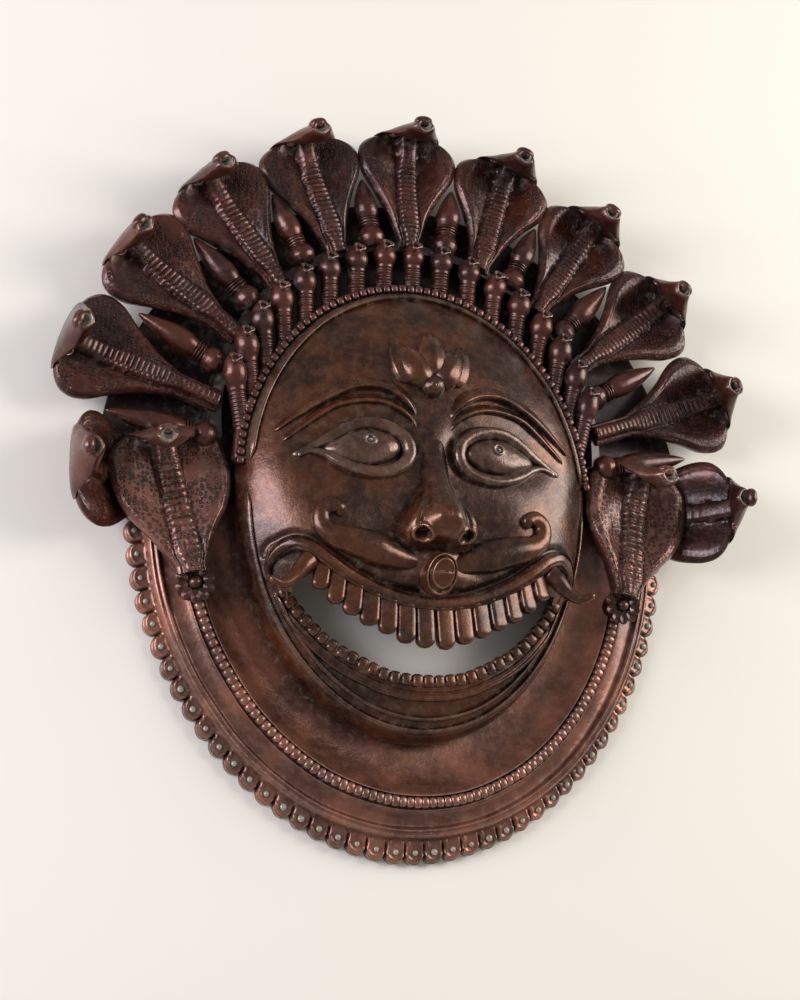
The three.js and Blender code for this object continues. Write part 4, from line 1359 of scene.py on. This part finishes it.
def crown_cobras():
    """The fan of eleven hoods, a little lower towards the sides."""
    number = 0
    for i, angle in enumerate([*HOODS, LOWEST_HOOD]):
        lowest = angle == LOWEST_HOOD
        radius = 190 if lowest else 211 - 1.2 * i
        bent = {"lift": 25, "bend": 34, "thick": 5} if lowest else {}
        body = radius - hoop_reach(math.radians(angle)) + 4
        for side in ((1,) if angle == 0 else (1, -1)):
            bm = cobra(CROWN_HOOD, body, **bent)
            spot = on_fan(math.radians(side * angle), radius, 10 if lowest else 21)
            bmesh.ops.transform(bm, matrix=spot, verts=bm.verts)
            number += 1
            add_panel_marks(piece(bm, f"crown_cobra_{number:02d}", CROWN_BRONZE, wobble=0.5))


def ear_cobras():
    """A larger cobra beside each ear, its head leaning a little outwards."""
    lean = 0.25
    for side, name in ((1, "right"), (-1, "left")):
        bm = cobra(EAR_HOOD, 80, belt=6.6, pitch=3.75, droop=4.5, thick=13, lift=-7, bend=80)
        for v in bm.verts:
            v.co.x += side * lean * max(0.0, v.co.z - 3)
        bmesh.ops.transform(bm, matrix=placed(side * 141, 33, 25, math.radians(side * 12)), verts=bm.verts)
        add_panel_marks(piece(bm, f"ear_cobra_{name}", HIGHLIT_EAR_BRONZE, wobble=0.5), 0.5)


def rosettes():
    """A flower of ten looped petals below each ear cobra."""
    bm = bmesh.new()
    petals = 10
    petal = turned([(0, 0), (2.0, 0), (2.7, 1.4), (2.4, 2.6), (1.6, 2.2), (0, 1.4)], 16, 16)
    ball = rounded_block(3.4, 3.4, 3.4, power=2, around=20, rows=12)
    plate = turned([(0, 0), (8, 0), (8.4, 4), (7.5, 10), (0, 10.5)], 30, 16)
    stand = rotated(90, "X")
    for side in (-1, 1):
        centre = moved(side * 122.5, -50, 9)
        add_copy(bm, plate, centre @ stand)
        for i in range(petals):
            out = rotated(360 / petals * i, "Z") @ moved(0, 7.4, 10) @ Matrix.Diagonal((1, 1.35, 1, 1))
            add_copy(bm, petal, centre @ out @ stand)
        add_copy(bm, ball, centre @ moved(0, 0, 11.5))
    return piece(bm, "rosettes", CROWN_BRONZE)


# Spikes and small cobras


# Heading of each spike in degrees, and how far its tip stands from the fan's centre
SPIKES = [(8.7, 183), (26, 183), (43.2, 182), (61, 176), (80, 173)]
SPIKE_BALL = 12
SPIKE_RING = 1.7
# Radius of the bud at shares of its length
SPIKE_BUD = [(5.2, 0), (6.6, 0.12), (6.9, 0.26), (6.2, 0.46), (4.6, 0.66), (2.6, 0.85), (0.9, 0.97), (0, 1)]


def spikes():
    """A ball, three rings and a long pointed bud, laid out between the hoods."""
    bm = bmesh.new()
    ball = SPIKE_BALL
    for angle, tip in SPIKES:
        start = hoop_reach(math.radians(angle)) - 3
        profile = [(0, 0), (4.6, 0), (6.8, ball * 0.25), (7.6, ball * 0.5), (6.6, ball * 0.78), (4.6, ball)]
        for ring in range(3):
            base = ball + 0.2 + SPIKE_RING * ring
            profile += [(4.6, base), (5.7, base + 0.5), (5.7, base + 1.0), (4.6, base + 1.5)]
        neck = ball + 5.5
        profile += [(radius, mix(neck, tip - start, share)) for radius, share in SPIKE_BUD]
        form = turned(profile, 20, 90)
        for side in (-1, 1):
            add_copy(bm, form, on_fan(math.radians(side * angle), start, 17))
        form.free()
    return piece(bm, "spikes", CROWN_BRONZE, wobble=0.5)


# Steps between the small cobras in degrees, and how far out from the hoop's centre they reach
NAGA_STEP = 8.9
NAGA_REACH = 112
NAGA_NECK = 4.5
NAGA_RIBS = 11
# Radius of the head at shares of the length
NAGA_HEAD = [(4.9, 0.56), (6.1, 0.63), (6.8, 0.71), (6.3, 0.8), (4.6, 0.9), (2.2, 0.97), (0, 1)]
NAGA_MOUTH = [(0, 0), (2.5, 0), (3.3, 1.6), (3.4, 2.6), (2.8, 3.2), (1.9, 2.4), (1.4, 0.6), (0, 0.4)]


def small_nagas():
    """Seventeen small cobras side by side round the forehead, each with an open mouth."""
    bm = bmesh.new()
    mark_pale(bm)
    mouth = turned(NAGA_MOUTH, 15, 24)
    mark_pale(mouth, lambda co: co.y > 3.0, 0.45)
    for v in mouth.verts:
        lobe = 1 + 0.22 * math.cos(3 * math.atan2(v.co.z, v.co.x))
        v.co.x *= lobe
        v.co.z *= lobe
    for i in range(-8, 9):
        heading = math.radians(i * NAGA_STEP)
        root_x, root_y = egg_place(heading * 1.07, 0.99)
        out_x = NAGA_REACH * math.sin(heading) - root_x
        out_y = HOOP_Y + NAGA_REACH * math.cos(heading) - root_y
        length = math.hypot(out_x, out_y)
        profile = [(0, 0), (NAGA_NECK, 0)]
        for k in range(NAGA_RIBS * 2):
            profile.append((NAGA_NECK + 0.55 * (k % 2), length * mix(0.02, 0.54, k / (NAGA_RIBS * 2))))
        profile += [(radius, length * share) for radius, share in NAGA_HEAD]
        spot = placed(root_x, root_y, CROWN_EDGE, math.atan2(out_x, out_y)) @ rotated(12, "X")
        add_part(bm, turned(profile, 18, 72), spot)
        add_copy(bm, mouth, spot @ moved(0, length * 0.87, 3.6) @ rotated(48, "X"))
    mouth.free()
    return piece(bm, "small_nagas", CROWN_BRONZE, wobble=0.5)


BACK_RADIUS = 172
BACK_THICK = 3
HOOP_INSIDE = HOOP_RADIUS - 7
NECK_REACH = HOLLOW + 0.03
# Round the plate and the hoop: centre up the face, radius and height. Where there is no centre the
# line follows the face's own outline.
BACK_SECTION = [
    (None, None, 0), (FAN_Y, BACK_RADIUS, 0), (FAN_Y, BACK_RADIUS, BACK_THICK),
    (HOOP_Y, HOOP_RADIUS, BACK_THICK), (HOOP_Y, HOOP_RADIUS, 16), (HOOP_Y, HOOP_RADIUS - 0.8, 17.5),
    (HOOP_Y, HOOP_INSIDE + 0.8, 19), (HOOP_Y, HOOP_INSIDE, 17.5), (HOOP_Y, HOOP_INSIDE, BACK_THICK),
    (None, None, BACK_THICK),
]


def crown_back():
    """The hoop and the flat back that close the crown behind the hoods."""
    count = len(BACK_SECTION)

    def place(u, v):
        angle = np.radians(mix(-95, 95, v))
        across, along = np.sin(angle), np.cos(angle)
        k = np.rint(u * count).astype(int) % count
        x = FACE_HALF * NECK_REACH * across
        y = FACE_CENTRE + NECK_REACH * along * np.where(along > 0, FACE_UP, FACE_DOWN)
        z = np.zeros(u.shape)
        for order, (centre, radius, level) in enumerate(BACK_SECTION):
            here = k == order
            z = np.where(here, level, z)
            if radius:
                x = np.where(here, radius * across, x)
                y = np.where(here, centre + radius * along, y)
        return x, y, z

    bm = bent_grid(count, 120, place)
    bmesh.ops.holes_fill(bm, edges=open_edges(bm))
    # Its near black bronze is painted shade for the gaps between the hoods
    return piece(bm, "crown_back", SHADED_BACKING_BRONZE, sharp=40)


# Stage, camera and light


def place_object(name, data):
    made = bpy.data.objects.new(name, data)
    bpy.context.scene.collection.objects.link(made)
    return made


def stage():
    """A plain pale floor.

    Backdrop paper, uncoated and rolled smooth: the eye sees an even warm white with no shine.
    """
    bm = bmesh.new()
    bmesh.ops.create_grid(bm, x_segments=1, y_segments=1, size=4)
    mesh = bpy.data.meshes.new("floor")
    bm.to_mesh(mesh)
    bm.free()
    paper = bpy.data.materials.new("cream_paper")
    paper.use_nodes = True
    shader = paper.node_tree.nodes["Principled BSDF"].inputs
    shader["Base Color"].default_value = colour("#F8F5EB")
    shader["Roughness"].default_value = 0.9
    shader["Specular IOR Level"].default_value = 0.1
    mesh.materials.append(paper)
    floor = place_object("floor", mesh)


# Angles in degrees off the mask's own axis, then its distance and shift to the side in millimetres
CAMERA_YAW = 20
CAMERA_PITCH = 15
CAMERA_ROLL = 1.2
CAMERA_AWAY = 940
CAMERA_ASIDE = -12
CAMERA_CENTRE = (0, 0, 30)
# Focal length as a share of the picture's long side, and the long side of the camera's film
FOCAL_SHARE = 1.739
FILM = 36


def camera():
    """The camera at the photograph's viewing angle, looking down on the mask."""
    turn = (
        rotated(CAMERA_ROLL, "Z") @ rotated(-CAMERA_PITCH, "X") @ rotated(CAMERA_YAW, "Y")
    ).transposed()
    at = moved(*CAMERA_CENTRE) @ turn @ Vector((CAMERA_ASIDE, 0, CAMERA_AWAY))
    data = bpy.data.cameras.new("camera")
    data.sensor_width = FILM
    data.lens = FOCAL_SHARE * FILM
    data.clip_start = 0.01
    made = place_object("camera", data)
    made.matrix_world = moved(*(TO_METRES @ at)) @ turn
    bpy.context.scene.camera = made


# What the lights point at, in metres
AIM = Vector((0, 0, 0.03))


def soft_light(name, place, size, power, tint):
    """A softbox: its place and size in metres, its power in watts."""
    data = bpy.data.lights.new(name, "AREA")
    data.shape = "RECTANGLE"
    data.size, data.size_y = size
    data.energy = power
    data.color = colour(tint)[:3]
    made = place_object(name, data)
    made.location = place
    made.rotation_euler = (AIM - Vector(place)).to_track_quat("-Z", "Y").to_euler()


def lights():
    """Soft studio light: an even pale surround and a large softbox at each side."""
    world = bpy.data.worlds.new("studio")
    world.use_nodes = True
    surround = world.node_tree.nodes["Background"].inputs
    surround["Color"].default_value = colour("#FAF8F4")
    surround["Strength"].default_value = 0.34
    bpy.context.scene.world = world
    soft_light("left_softbox", (-1.34, 0.1, 0.6), (0.6, 1.2), 21, "#F5F2FF")
    soft_light("right_softbox", (1.22, 0.3, 0.72), (0.7, 1.2), 17.5, "#FFF9F2")
    bpy.context.scene.view_settings.view_transform = "Standard"


for build in (
    camera, stage, lights, face, rims, brows, lids, eyeballs, lips, upper_teeth, lower_teeth, tusks,
    moustache, philtrum, nose, lotus, bead_band, collar, petal_studs, chain, crown_cobras, ear_cobras,
    rosettes, spikes, small_nagas, crown_back,
):
    build()
